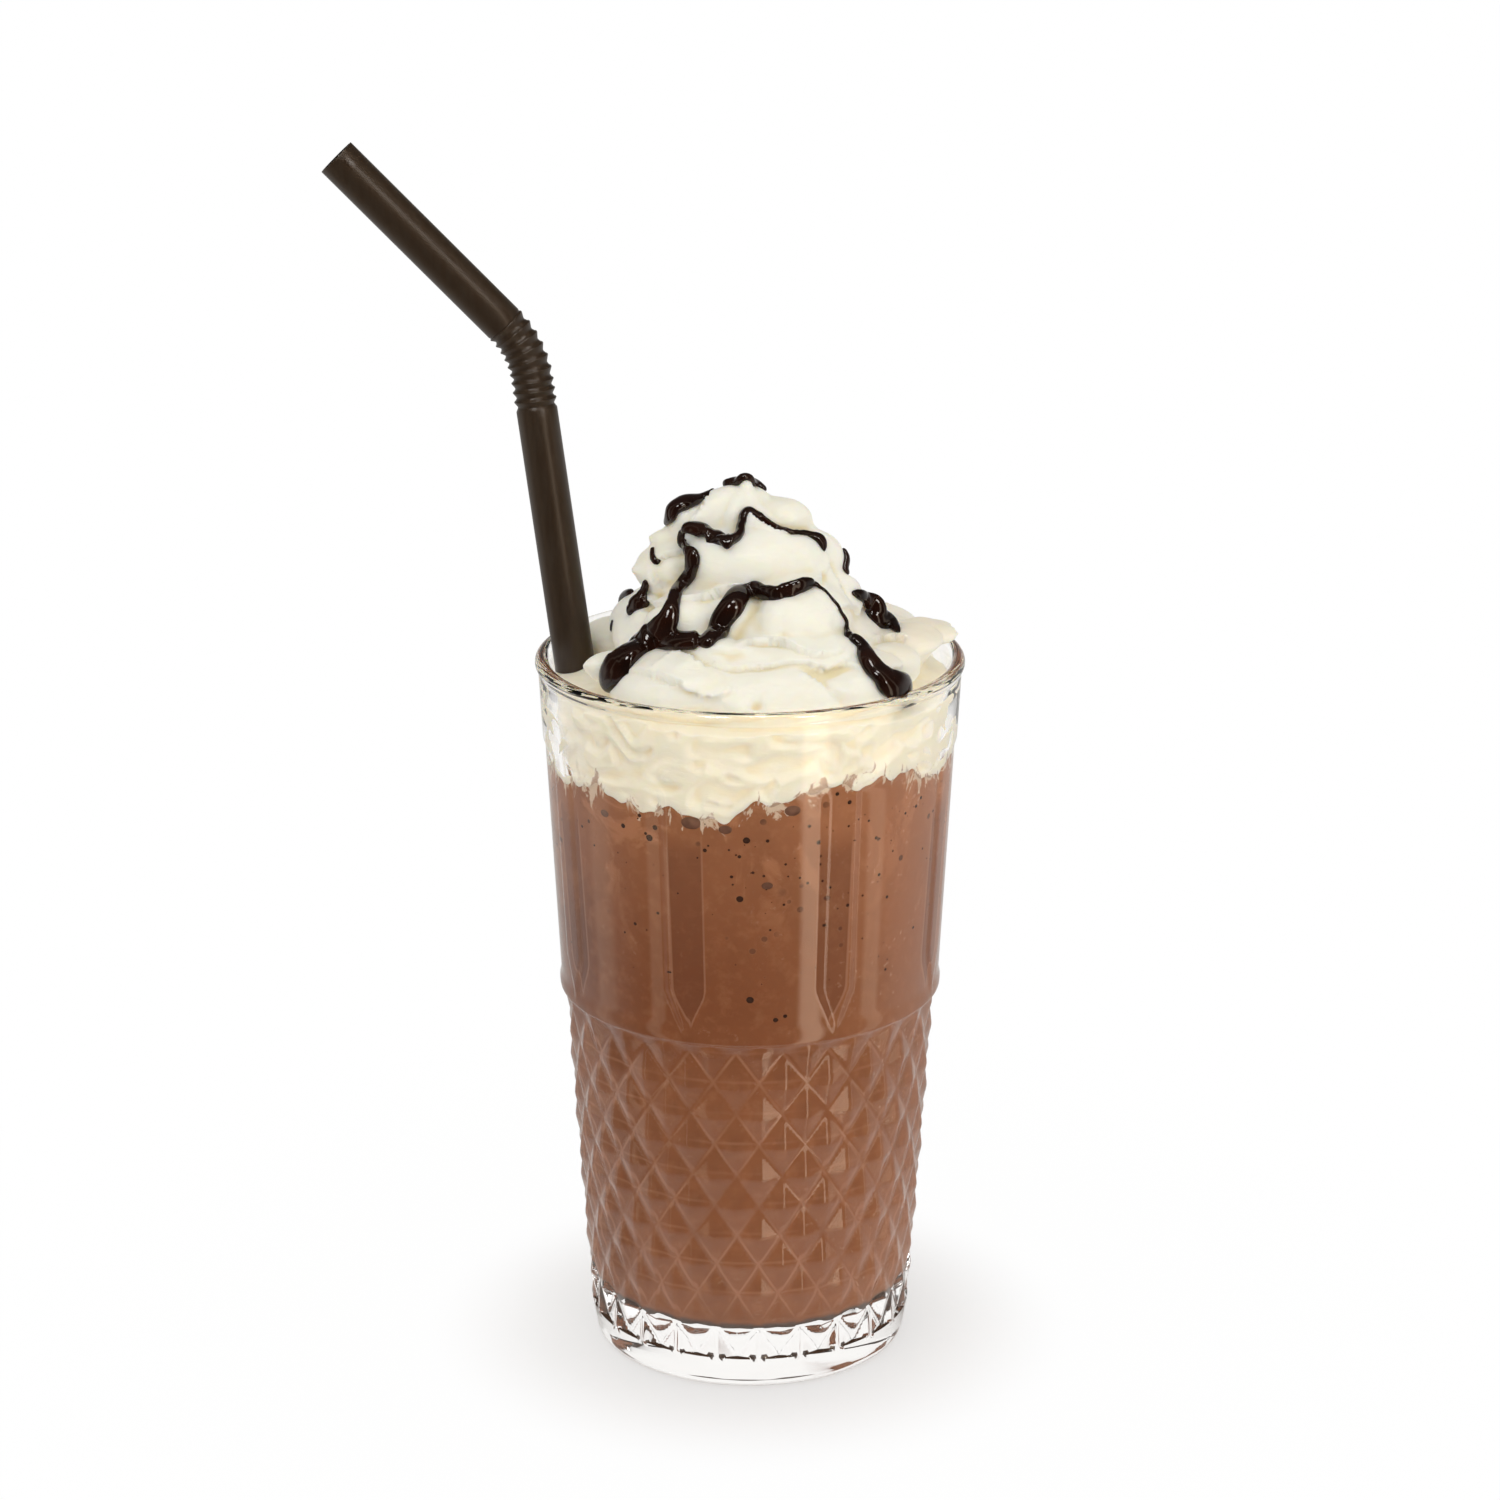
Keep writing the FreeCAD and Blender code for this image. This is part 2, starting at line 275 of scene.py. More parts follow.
class Wiring:
    """Nodes and their links inside one tree."""

    def __init__(self, tree: bpy.types.NodeTree) -> None:
        """Take the tree that the nodes go into."""
        self.tree = tree

    def add(self, kind: str, **settings: object) -> bpy.types.Node:
        """Add a node and set its properties.

        Args:
            kind: The node's type, without its "ShaderNode" prefix.
            **settings: Values for the node's properties.

        Returns:
            The new node.
        """
        node = self.tree.nodes.new("ShaderNode" + kind)
        for key, value in settings.items():
            setattr(node, key, value)
        return node

    def link(self, source: bpy.types.NodeSocket, target: bpy.types.NodeSocket) -> None:
        """Join two sockets."""
        self.tree.links.new(source, target)

    def feed(self, socket: bpy.types.NodeSocket, item: object) -> None:
        """Give a socket its value, or join it to the socket that holds it."""
        if isinstance(item, bpy.types.NodeSocket):
            self.link(item, socket)
        else:
            socket.default_value = item

    def place(self) -> bpy.types.NodeSocket:
        """Return the Object coordinates of the piece."""
        return self.add("TexCoord").outputs["Object"]

    def axis(self, name: str) -> bpy.types.NodeSocket:
        """Return the piece's coordinate along X, Y or Z, in metres."""
        split = self.add("SeparateXYZ")
        self.link(self.place(), split.inputs[0])
        return split.outputs[name]

    def azimuth(self) -> bpy.types.NodeSocket:
        """Return the azimuth round the piece's upright axis, in radians."""
        return self.sum("ARCTAN2", self.axis("Y"), self.axis("X"))

    def noise(
        self, scale: float, detail: float = 2.0, rough: float = 0.5,
        size: Colour = (1.0, 1.0, 1.0), warp: float = 0.0,
    ) -> bpy.types.NodeSocket:
        """Return the value of a noise pattern.

        Args:
            scale: Features in a metre.
            detail: Octaves of the noise.
            rough: Strength of its finer octaves.
            size: Stretch along each axis.
            warp: Distortion of the pattern.

        Returns:
            The pattern's value socket.
        """
        mapping = self.add("Mapping")
        mapping.inputs["Scale"].default_value = size
        self.link(self.place(), mapping.inputs["Vector"])
        node = self.add("TexNoise")
        node.inputs["Scale"].default_value = scale
        node.inputs["Detail"].default_value = detail
        node.inputs["Roughness"].default_value = rough
        node.inputs["Distortion"].default_value = warp
        self.link(mapping.outputs["Vector"], node.inputs["Vector"])
        return node.outputs["Fac"]

    def ramp(
        self, source: bpy.types.NodeSocket, stops: Sequence[tuple[float, Colour]]
    ) -> bpy.types.NodeSocket:
        """Return a value turned into a colour.

        Args:
            source: The value from 0 to 1.
            stops: Places and their linear colours.

        Returns:
            The colour socket.
        """
        node = self.add("ValToRGB")
        while len(node.color_ramp.elements) < len(stops):
            node.color_ramp.elements.new(0.5)
        for element, (spot, colour) in zip(node.color_ramp.elements, stops):
            element.position = spot
            element.color = (*colour, 1.0)
        self.link(source, node.inputs["Fac"])
        return node.outputs["Color"]

    def band(
        self, source: bpy.types.NodeSocket, low: object, high: object,
        start: float = 0.0, end: float = 1.0,
    ) -> bpy.types.NodeSocket:
        """Return a smooth blend while a value runs from low to high.

        Args:
            source: The value.
            low: Where the blend starts, as a value or socket.
            high: Where it ends, as a value or socket.
            start: The result up to low.
            end: The result from high on.

        Returns:
            The blend's socket.
        """
        node = self.add("MapRange", interpolation_type="SMOOTHSTEP")
        limits = {"From Min": low, "From Max": high, "To Min": start, "To Max": end}
        for name, item in limits.items():
            self.feed(node.inputs[name], item)
        self.link(source, node.inputs["Value"])
        return node.outputs["Result"]

    def height(self, low: float, high: float) -> bpy.types.NodeSocket:
        """Return 0 to 1 over a range of heights, in metres."""
        return self.band(self.axis("Z"), low, high)

    def sum(self, kind: str, *items: object) -> bpy.types.NodeSocket:
        """Return the result of a sum.

        Args:
            kind: The operation, such as "MULTIPLY".
            *items: Its values or sockets, in order.

        Returns:
            The result's socket.
        """
        node = self.add("Math", operation=kind)
        for socket, item in zip(node.inputs, items):
            self.feed(socket, item)
        return node.outputs[0]

    def times(self, *items: object) -> bpy.types.NodeSocket:
        """Return the product of two or more values or sockets."""
        result = items[0]
        for item in items[1:]:
            result = self.sum("MULTIPLY", result, item)
        return result

    def blend(self, share: object, a: object, b: object) -> bpy.types.NodeSocket:
        """Return one colour laid over another by a share.

        Args:
            share: Value or socket, 0 for the first colour and 1 for the second.
            a: First colour or socket.
            b: Second colour or socket.

        Returns:
            The mixed colour's socket.
        """
        node = self.add("Mix", data_type="RGBA")
        self.feed(node.inputs["Factor"], share)
        for item, socket in ((a, node.inputs[6]), (b, node.inputs[7])):
            self.feed(socket, (*item, 1.0) if isinstance(item, tuple) else item)
        return node.outputs[2]


class Shop(Wiring):
    """Node wiring of one material."""

    def __init__(self, name: str) -> None:
        """Start a material that holds only its output."""
        self.material = bpy.data.materials.new(name)
        self.material.use_nodes = True
        super().__init__(self.material.node_tree)
        self.tree.nodes.clear()
        self.output = self.add("OutputMaterial")

    def relief(
        self, height: bpy.types.NodeSocket, depth: float, strength: float
    ) -> bpy.types.NodeSocket:
        """Return a normal raised by a height pattern.

        Args:
            height: The pattern.
            depth: The relief's depth in metres.
            strength: How much of it is used.

        Returns:
            The normal's socket.
        """
        node = self.add("Bump")
        node.inputs["Distance"].default_value = depth
        node.inputs["Strength"].default_value = strength
        self.link(height, node.inputs["Height"])
        return node.outputs["Normal"]

    def shader(self, inputs: dict[str, object]) -> bpy.types.Node:
        """Add a Principled shader.

        Args:
            inputs: A value or socket for each of its inputs that is used, by name.

        Returns:
            The shader's node.
        """
        node = self.add("BsdfPrincipled")
        for name, item in inputs.items():
            self.feed(node.inputs[name], item)
        return node

    def mixed(
        self, share: bpy.types.NodeSocket, a: bpy.types.Node, b: bpy.types.Node
    ) -> bpy.types.Node:
        """Mix two shaders.

        Args:
            share: 0 for the first and 1 for the second.
            a: First shader.
            b: Second shader.

        Returns:
            The node that mixes them.
        """
        mix = self.add("MixShader")
        self.link(share, mix.inputs[0])
        self.link(a.outputs[0], mix.inputs[1])
        self.link(b.outputs[0], mix.inputs[2])
        return mix

    def close(self, shader: bpy.types.Node) -> bpy.types.Material:
        """Join the last shader to the output and return the material."""
        self.link(shader.outputs[0], self.output.inputs["Surface"])
        return self.material


class Effect(Wiring):
    """A shader node group with named inputs and outputs."""

    def __init__(self, name: str, inputs: Sequence[str], outputs: Sequence[str]) -> None:
        """Start a group.

        Args:
            name: The group's name.
            inputs: Names of its values.
            outputs: Names of its results.
        """
        super().__init__(bpy.data.node_groups.new(name, "ShaderNodeTree"))
        for way, names in (("INPUT", inputs), ("OUTPUT", outputs)):
            for item in names:
                self.tree.interface.new_socket(item, in_out=way, socket_type="NodeSocketFloat")
        self.given = self.tree.nodes.new("NodeGroupInput").outputs
        self.result = self.tree.nodes.new("NodeGroupOutput").inputs


def dot_group() -> bpy.types.NodeTree:
    """Build the group that scatters round air dots of painted shade, with painted highlight rims,
    over a surface.

    Returns:
        A group with Scale, Size and Share as inputs and Mask and Rim as outputs.
    """
    sharpness, rim = 14.0, 0.06
    group = Effect("air_dots", ("Scale", "Size", "Share"), ("Mask", "Rim"))
    cells = group.add("TexVoronoi")
    group.link(group.place(), cells.inputs["Vector"])
    group.link(group.given["Scale"], cells.inputs["Scale"])
    chance = group.add("SeparateColor")
    group.link(cells.outputs["Color"], chance.inputs[0])
    spread = group.sum("MULTIPLY_ADD", chance.outputs["Green"], 0.7, 0.3)
    size = group.times(group.given["Size"], spread)
    picked = group.sum("LESS_THAN", chance.outputs["Red"], group.given["Share"])
    gap = group.sum("SUBTRACT", size, cells.outputs["Distance"])
    # The mask is where a dot's painted shade goes; the ring just outside it gets a painted
    # highlight.
    for name, wide in (("Mask", gap), ("Rim", group.sum("ADD", gap, rim))):
        clipped = group.add("Clamp")
        group.link(group.times(wide, sharpness), clipped.inputs[0])
        group.link(group.times(clipped.outputs[0], picked), group.result[name])
    return group.tree


def feather_group() -> bpy.types.NodeTree:
    """Build the shared group that feathers the border of the drink and the cream.

    Returns:
        A group with Rise, Reach, Low and High as inputs and Mask as output. Rise is the
        height over the border in millimetres and Reach how much a millimetre counts.
    """
    group = Effect("feathered_border", ("Rise", "Reach", "Low", "High"), ("Mask",))
    feather = group.noise(190.0, 5.0, 0.62, (1.0, 1.0, 0.6), 1.5)
    tipped = group.sum("ADD", feather, group.times(group.given["Rise"], group.given["Reach"]))
    mask = group.band(tipped, group.given["Low"], group.given["High"])
    group.link(mask, group.result["Mask"])
    return group.tree


@dataclass(frozen=True)
class Feather:
    """One material's own use of the feathered border."""

    reach: float
    low: float
    high: float

    def mask(self, shop: Shop, group: bpy.types.NodeTree) -> bpy.types.NodeSocket:
        """Place the shared group in a material.

        Args:
            shop: The material's wiring.
            group: The shared group.

        Returns:
            1 where the other side's colour shows.
        """
        node = shop.add("Group", node_tree=group)
        rise = shop.add("Attribute", attribute_name="rise").outputs["Fac"]
        values = {"Rise": rise, "Reach": self.reach, "Low": self.low, "High": self.high}
        for name, item in values.items():
            shop.feed(node.inputs[name], item)
        return node.outputs["Mask"]


@dataclass(frozen=True)
class ClearGlass:
    """Clear pressed glass, polished and very slightly rippled."""

    tint: Colour = (1.0, 0.986, 0.966)
    ior: float = 1.5
    ripple: float = 0.00032
    ripple_strength: float = 0.35

    def material(self) -> bpy.types.Material:
        """Build the material."""
        shop = Shop("clear_glass")
        waves = shop.noise(70.0, 1.0, 0.4, (1.0, 1.0, 0.3))
        shader = shop.shader({
            "Base Color": (*self.tint, 1.0),
            "Roughness": 0.0,
            "IOR": self.ior,
            "Transmission Weight": 1.0,
            "Normal": shop.relief(waves, self.ripple, self.ripple_strength),
        })
        clear = shop.add("BsdfTransparent")
        clear.inputs["Color"].default_value = (*self.tint, 1.0)
        return shop.close(shop.mixed(shop.add("LightPath").outputs["Is Shadow Ray"], shader, clear))


@dataclass(frozen=True)
class AirDots:
    """One size of air dot in the drink: how dense, how wide, how many and how plain."""

    scale: float
    size: float
    share: float
    plain: float


@dataclass(frozen=True)
class ShakeFinish:
    """Frothy milk-chocolate drink with lighter patches, air dots and a pale top, and painted light
    and shade: a lighter right side, dark air dots with highlight rims, shade and light lines behind
    the wall's pillars and diamonds, and a dark line at its lowest edge.
    """

    deep: Colour = (0.185, 0.056, 0.0155)
    body: Colour = (0.245, 0.078, 0.025)
    # The frothy colour, also used for painted light on the right side and for the painted highlight
    # rims of the air dots.
    froth: Colour = (0.50, 0.215, 0.10)
    foam: Colour = (0.66, 0.39, 0.24)
    lace: Colour = (0.74, 0.585, 0.43)
    # Painted shade inside the air dots.
    hole: Colour = (0.045, 0.018, 0.011)
    # Painted shade: a thin dark line at the drink's lowest edge.
    bottom: Colour = (0.035, 0.022, 0.012)
    # Painted shade behind the wall's pillars, and painted highlight lines on their edges.
    pillar: Colour = (0.135, 0.040, 0.016)
    pillar_edge: Colour = (0.50, 0.27, 0.17)
    # Painted shade on the upper facets of the diamonds, and painted light along their grooves and
    # ridges.
    facet: Colour = (0.12, 0.042, 0.018)
    groove: Colour = (0.50, 0.235, 0.13)
    level: float = 0.1245
    border: Feather = Feather(0.034, 0.49, 0.55)
    dots: tuple[AirDots, ...] = (AirDots(190.0, 0.30, 0.20, 0.7), AirDots(430.0, 0.34, 0.20, 0.9))
    pillars: int = 8
    pillar_start_deg: float = 64.3
    pillar_reach: float = 29.8
    pillar_half: float = 3.4
    columns: int = 24
    column_start: float = 12.6
    foot: float = 0.0071
    pitch: float = 0.00662

    def material(
        self, dots: bpy.types.NodeTree, feather: bpy.types.NodeTree
    ) -> bpy.types.Material:
        """Build the material.

        Args:
            dots: The group of air dots.
            feather: The shared group of the feathered border.

        Returns:
            The material.
        """
        shop = Shop("chocolate_milkshake")
        base = self.frothed(shop)
        base = shop.blend(shop.times(self.border.mask(shop, feather), 0.85), base, self.lace)
        base = self.aired(shop, base, dots)
        base = self.behind_pillars(shop, self.behind_diamonds(shop, base))
        # Painted shade: a thin dark line along the drink's lowest edge, standing in for the dark
        # outline that the glass's foot throws there.
        base = shop.blend(shop.times(shop.height(0.0136, 0.0121), 0.85), base, self.bottom)
        return shop.close(shop.shader({
            "Base Color": base,
            "Roughness": 0.5,
            "Specular IOR Level": 0.2,
            "Subsurface Weight": 0.25,
            "Subsurface Radius": (1.0, 0.5, 0.3),
            "Subsurface Scale": 0.0015,
        }))

    def frothed(self, shop: Shop) -> bpy.types.NodeSocket:
        """Mix the drink's own colour with its lighter frothy colour, and paint light on its right
        side.

        Args:
            shop: The material's wiring.

        Returns:
            The colour, lighter on the right by painted light, lighter low down, and lighter in
            frothy patches under the top.
        """
        cloud = shop.noise(38.0, 4.0, 0.55, (1.0, 1.0, 0.6), 0.4)
        base = shop.ramp(cloud, [(0.34, self.deep), (0.5, self.body), (0.68, self.body)])
        fine = shop.band(shop.noise(420.0, 3.0, 0.6), 0.45, 0.75)
        base = shop.blend(shop.times(fine, 0.22), base, self.froth)
        # Painted light: the right side of the drink is lightened, standing in for the reflection
        # that lies over it there; the same mask puts more specks on the right.
        side = shop.band(shop.axis("X"), -0.004, 0.030)
        low = shop.times(shop.height(0.08, 0.06), 0.24)
        base = shop.blend(shop.sum("MAXIMUM", shop.times(side, 0.42), low), base, self.froth)
        top = shop.height(self.level - 0.042, self.level - 0.002)
        patch = shop.band(shop.noise(75.0, 5.0, 0.62, (1.0, 1.0, 0.8), 1.2), 0.42, 0.62)
        lift = shop.times(top, shop.sum("MAXIMUM", patch, 0.45))
        base = shop.blend(shop.times(lift, 0.85), base, self.froth)
        specks = shop.band(shop.noise(900.0, 3.0, 0.6), 0.6, 0.72)
        specks = shop.times(specks, patch, shop.sum("ADD", side, 0.35))
        return shop.blend(shop.times(specks, 0.5), base, self.foam)

    def aired(
        self, shop: Shop, base: bpy.types.NodeSocket, dots: bpy.types.NodeTree
    ) -> bpy.types.NodeSocket:
        """Scatter air dots of painted shade with painted highlight rims under the drink's top.

        Args:
            shop: The material's wiring.
            base: Colour of the drink.
            dots: The group of air dots.

        Returns:
            The colour with the dots.
        """
        area = shop.band(shop.noise(48.0, 2.0, 0.5), 0.5, 0.6)
        near_top = shop.height(self.level - 0.05, self.level - 0.012)
        for kind in self.dots:
            holes = shop.add("Group", node_tree=dots)
            holes.inputs["Scale"].default_value = kind.scale
            holes.inputs["Size"].default_value = kind.size
            holes.inputs["Share"].default_value = kind.share
            where = shop.times(area, near_top, kind.plain)
            # Painted highlight on each dot's rim, then painted shade inside the dot.
            base = shop.blend(shop.times(holes.outputs["Rim"], where, 0.35), base, self.froth)
            base = shop.blend(shop.times(holes.outputs["Mask"], where), base, self.hole)
        return base

    def behind_pillars(self, shop: Shop, base: bpy.types.NodeSocket) -> bpy.types.NodeSocket:
        """Paint shade on the drink behind the thick pillars of the wall, and painted highlight
        lines along their edges.

        Args:
            shop: The material's wiring.
            base: Colour of the drink.

        Returns:
            The colour with eight bands of painted shade, each between two thin painted highlight
            lines.
        """
        turn = shop.sum("ADD", shop.azimuth(), math.radians(self.pillar_start_deg))
        turn = shop.sum("DIVIDE", turn, math.tau / self.pillars)
        away = shop.times(shop.sum("PINGPONG", turn, 0.5), self.pillar_reach)
        half = shop.times(shop.height(0.0775, 0.0865), self.pillar_half)
        inside = shop.sum("SUBTRACT", half, away)
        zone = shop.height(0.1195, 0.113)
        dark = shop.times(shop.band(inside, 0.0, 0.35), zone)
        edge = shop.band(shop.sum("ABSOLUTE", inside), 0.42, 0.12)
        edge = shop.times(edge, zone, shop.height(0.0775, 0.079))
        # Painted shade in the band behind each pillar, then painted highlight lines along its
        # edges.
        base = shop.blend(shop.times(dark, 0.42), base, self.pillar)
        return shop.blend(shop.times(edge, 0.3), base, self.pillar_edge)

    def behind_diamonds(self, shop: Shop, base: bpy.types.NodeSocket) -> bpy.types.NodeSocket:
        """Paint the light that the raised diamonds gather, and their shade, over the drink behind
        them.

        Args:
            shop: The material's wiring.
            base: Colour of the drink.

        Returns:
            The colour with painted light lines along the grooves and ridges and painted shade on
            the upper facets.
        """
        column = shop.times(shop.azimuth(), self.columns / math.pi)
        column = shop.sum("ADD", column, self.column_start)
        row = shop.sum("DIVIDE", shop.sum("SUBTRACT", shop.axis("Z"), self.foot), self.pitch)
        one = shop.sum("PINGPONG", shop.sum("ADD", column, row), 1.0)
        two = shop.sum("PINGPONG", shop.sum("SUBTRACT", column, row), 1.0)
        groove = shop.band(shop.sum("MINIMUM", one, two), 0.17, 0.03)
        ridge = shop.times(shop.band(shop.sum("PINGPONG", row, 0.5), 0.07, 0.01), 0.55)
        line = shop.sum("MAXIMUM", groove, ridge)
        upper = shop.sum("PINGPONG", shop.sum("ADD", one, two), 2.0)
        zone = shop.times(shop.height(0.0745, 0.0715), shop.height(0.012, 0.018))
        # Painted shade on the upper facets and painted light lines along the grooves and ridges,
        # broken up by noise.
        worn = shop.band(shop.noise(60.0, 2.0), 0.3, 0.62)
        dim = shop.times(shop.band(upper, 1.0, 1.9), zone, 0.22)
        base = shop.blend(dim, base, self.facet)
        return shop.blend(shop.times(line, zone, worn, 0.6), base, self.groove)


@dataclass(frozen=True)
class CreamFinish:
    """Soft moist whipped cream, ivory, with warmer painted shade in its hollows, painted shade on
    the right and painted warm light where it lies behind the glass.
    """

    light: Colour = (0.95, 0.905, 0.79)
    # warm is the colour of random warm patches and of the painted shade in the hollows.
    warm: Colour = (0.86, 0.76, 0.50)
    # Painted shade on the right of the mound.
    shade: Colour = (0.80, 0.70, 0.52)
    # Painted warm light on the cream behind the glass.
    wall: Colour = (0.97, 0.84, 0.60)
    stain: Colour = (0.40, 0.205, 0.115)
    border: Feather = Feather(-0.04, 0.5, 0.58)

    def material(self, feather: bpy.types.NodeTree) -> bpy.types.Material:
        """Build the material.

        Args:
            feather: The shared group of the feathered border.

        Returns:
            The material.
        """
        shop = Shop("whipped_cream")
        # Painted shade: the hollows of the skin take the darker warm colour, as shade falls there;
        # random patches take a little of it too.
        hollow = shop.add("Attribute", attribute_name="hollow").outputs["Fac"]
        creases = shop.times(shop.band(hollow, 0.02, 0.22), 0.95)
        patches = shop.band(shop.noise(70.0, 3.0, 0.55, warp=0.8), 0.5, 0.72)
        share = shop.sum("MAXIMUM", creases, shop.times(patches, 0.18))
        colour = shop.blend(share, self.light, self.warm)
        # Painted shade on the right of the mound, above the rim.
        right = shop.times(shop.band(shop.axis("X"), 0.019, 0.032), shop.height(0.146, 0.150))
        colour = shop.blend(shop.times(right, 0.45), colour, self.shade)
        # Painted light: the cream behind the glass is warmed, more so in its hollows, to make up
        # for the light that the glass holds back.
        tinted = shop.sum("ADD", shop.times(share, 0.6), 0.4)
        behind_wall = shop.times(shop.height(0.1432, 0.1415), tinted)
        colour = shop.blend(behind_wall, colour, self.wall)
        colour = shop.blend(shop.times(self.border.mask(shop, feather), 0.8), colour, self.stain)
        ribs = shop.noise(260.0, 3.0, 0.5, (1.0, 1.0, 2.6), 0.7)
        height = shop.sum("ADD", ribs, shop.times(shop.noise(1500.0), 0.12))
        return shop.close(shop.shader({
            "Base Color": colour,
            "Roughness": 0.42,
            "Specular IOR Level": 0.35,
            "Subsurface Weight": 0.6,
            "Subsurface Radius": (1.0, 0.8, 0.45),
            "Subsurface Scale": 0.0025,
            "Normal": shop.relief(height, 0.0005, 0.35),
        }))


@dataclass(frozen=True)
class SauceFinish:
    """Glossy dark chocolate sauce, nearly black where it is thick."""

    dark: Colour = (0.008, 0.0032, 0.002)
    brown: Colour = (0.022, 0.0065, 0.0035)

    def material(self) -> bpy.types.Material:
        """Build the material."""
        shop = Shop("chocolate_sauce")
        tone = shop.ramp(shop.noise(150.0), [(0.35, self.dark), (0.75, self.brown)])
        return shop.close(
            shop.shader({"Base Color": tone, "Roughness": 0.08, "Specular IOR Level": 0.3})
        )


@dataclass(frozen=True)
class StrawFinish:
    """Black moulded plastic with a soft sheen and faint scuffs."""

    black: Colour = (0.030, 0.0165, 0.0075)
    scuff: Colour = (0.036, 0.023, 0.013)

    def material(self) -> bpy.types.Material:
        """Build the material."""
        shop = Shop("black_straw")
        wear = shop.noise(900.0, 4.0, 0.65, (1.0, 1.0, 0.12))
        return shop.close(shop.shader({
            "Base Color": shop.ramp(wear, [(0.4, self.black), (0.75, self.scuff)]),
            "Roughness": shop.sum("MULTIPLY_ADD", wear, 0.25, 0.22),
            "Specular IOR Level": 0.32,
            "Normal": shop.relief(wear, 0.00003, 0.2),
        }))


@dataclass(frozen=True)
class FloorFinish:
    """White table that keeps a soft warm shadow and fades out far away."""

    white: Colour = (0.97, 0.965, 0.955)

    def material(self) -> bpy.types.Material:
        """Build the material."""
        shop = Shop("white_table")
        shader = shop.shader({
            "Base Color": (*self.white, 1.0),
            "Roughness": 0.7,
            "Specular IOR Level": 0.1,
        })
        glow = shop.add("Emission")
        glow.inputs["Strength"].default_value = 1.0
        length = shop.add("VectorMath", operation="LENGTH")
        shop.link(shop.place(), length.inputs[0])
        away = length.outputs["Value"]
        near = shop.times(shop.band(away, 0.034, 0.068), 0.95)
        far = shop.sum("ADD", near, shop.times(shop.band(away, 0.05, 0.2), 0.05))
        rays = shop.add("LightPath").outputs
        share = shop.times(shop.sum("MULTIPLY_ADD", far, 0.5, 0.5), rays["Is Camera Ray"])
        share = shop.sum("MAXIMUM", share, rays["Is Transmission Ray"])
        seen = shop.mixed(share, shader, glow)
        gone = shop.times(shop.band(away, 0.06, 0.13), rays["Is Glossy Ray"])
        return shop.close(shop.mixed(gone, seen, shop.add("BsdfTransparent")))


def dress(piece: bpy.types.Object, material: bpy.types.Material) -> None:
    """Give a piece its one material."""
    piece.data.materials.clear()
    piece.data.materials.append(material)


# --------------------------------------------------------------------------------------
# Pieces
# --------------------------------------------------------------------------------------


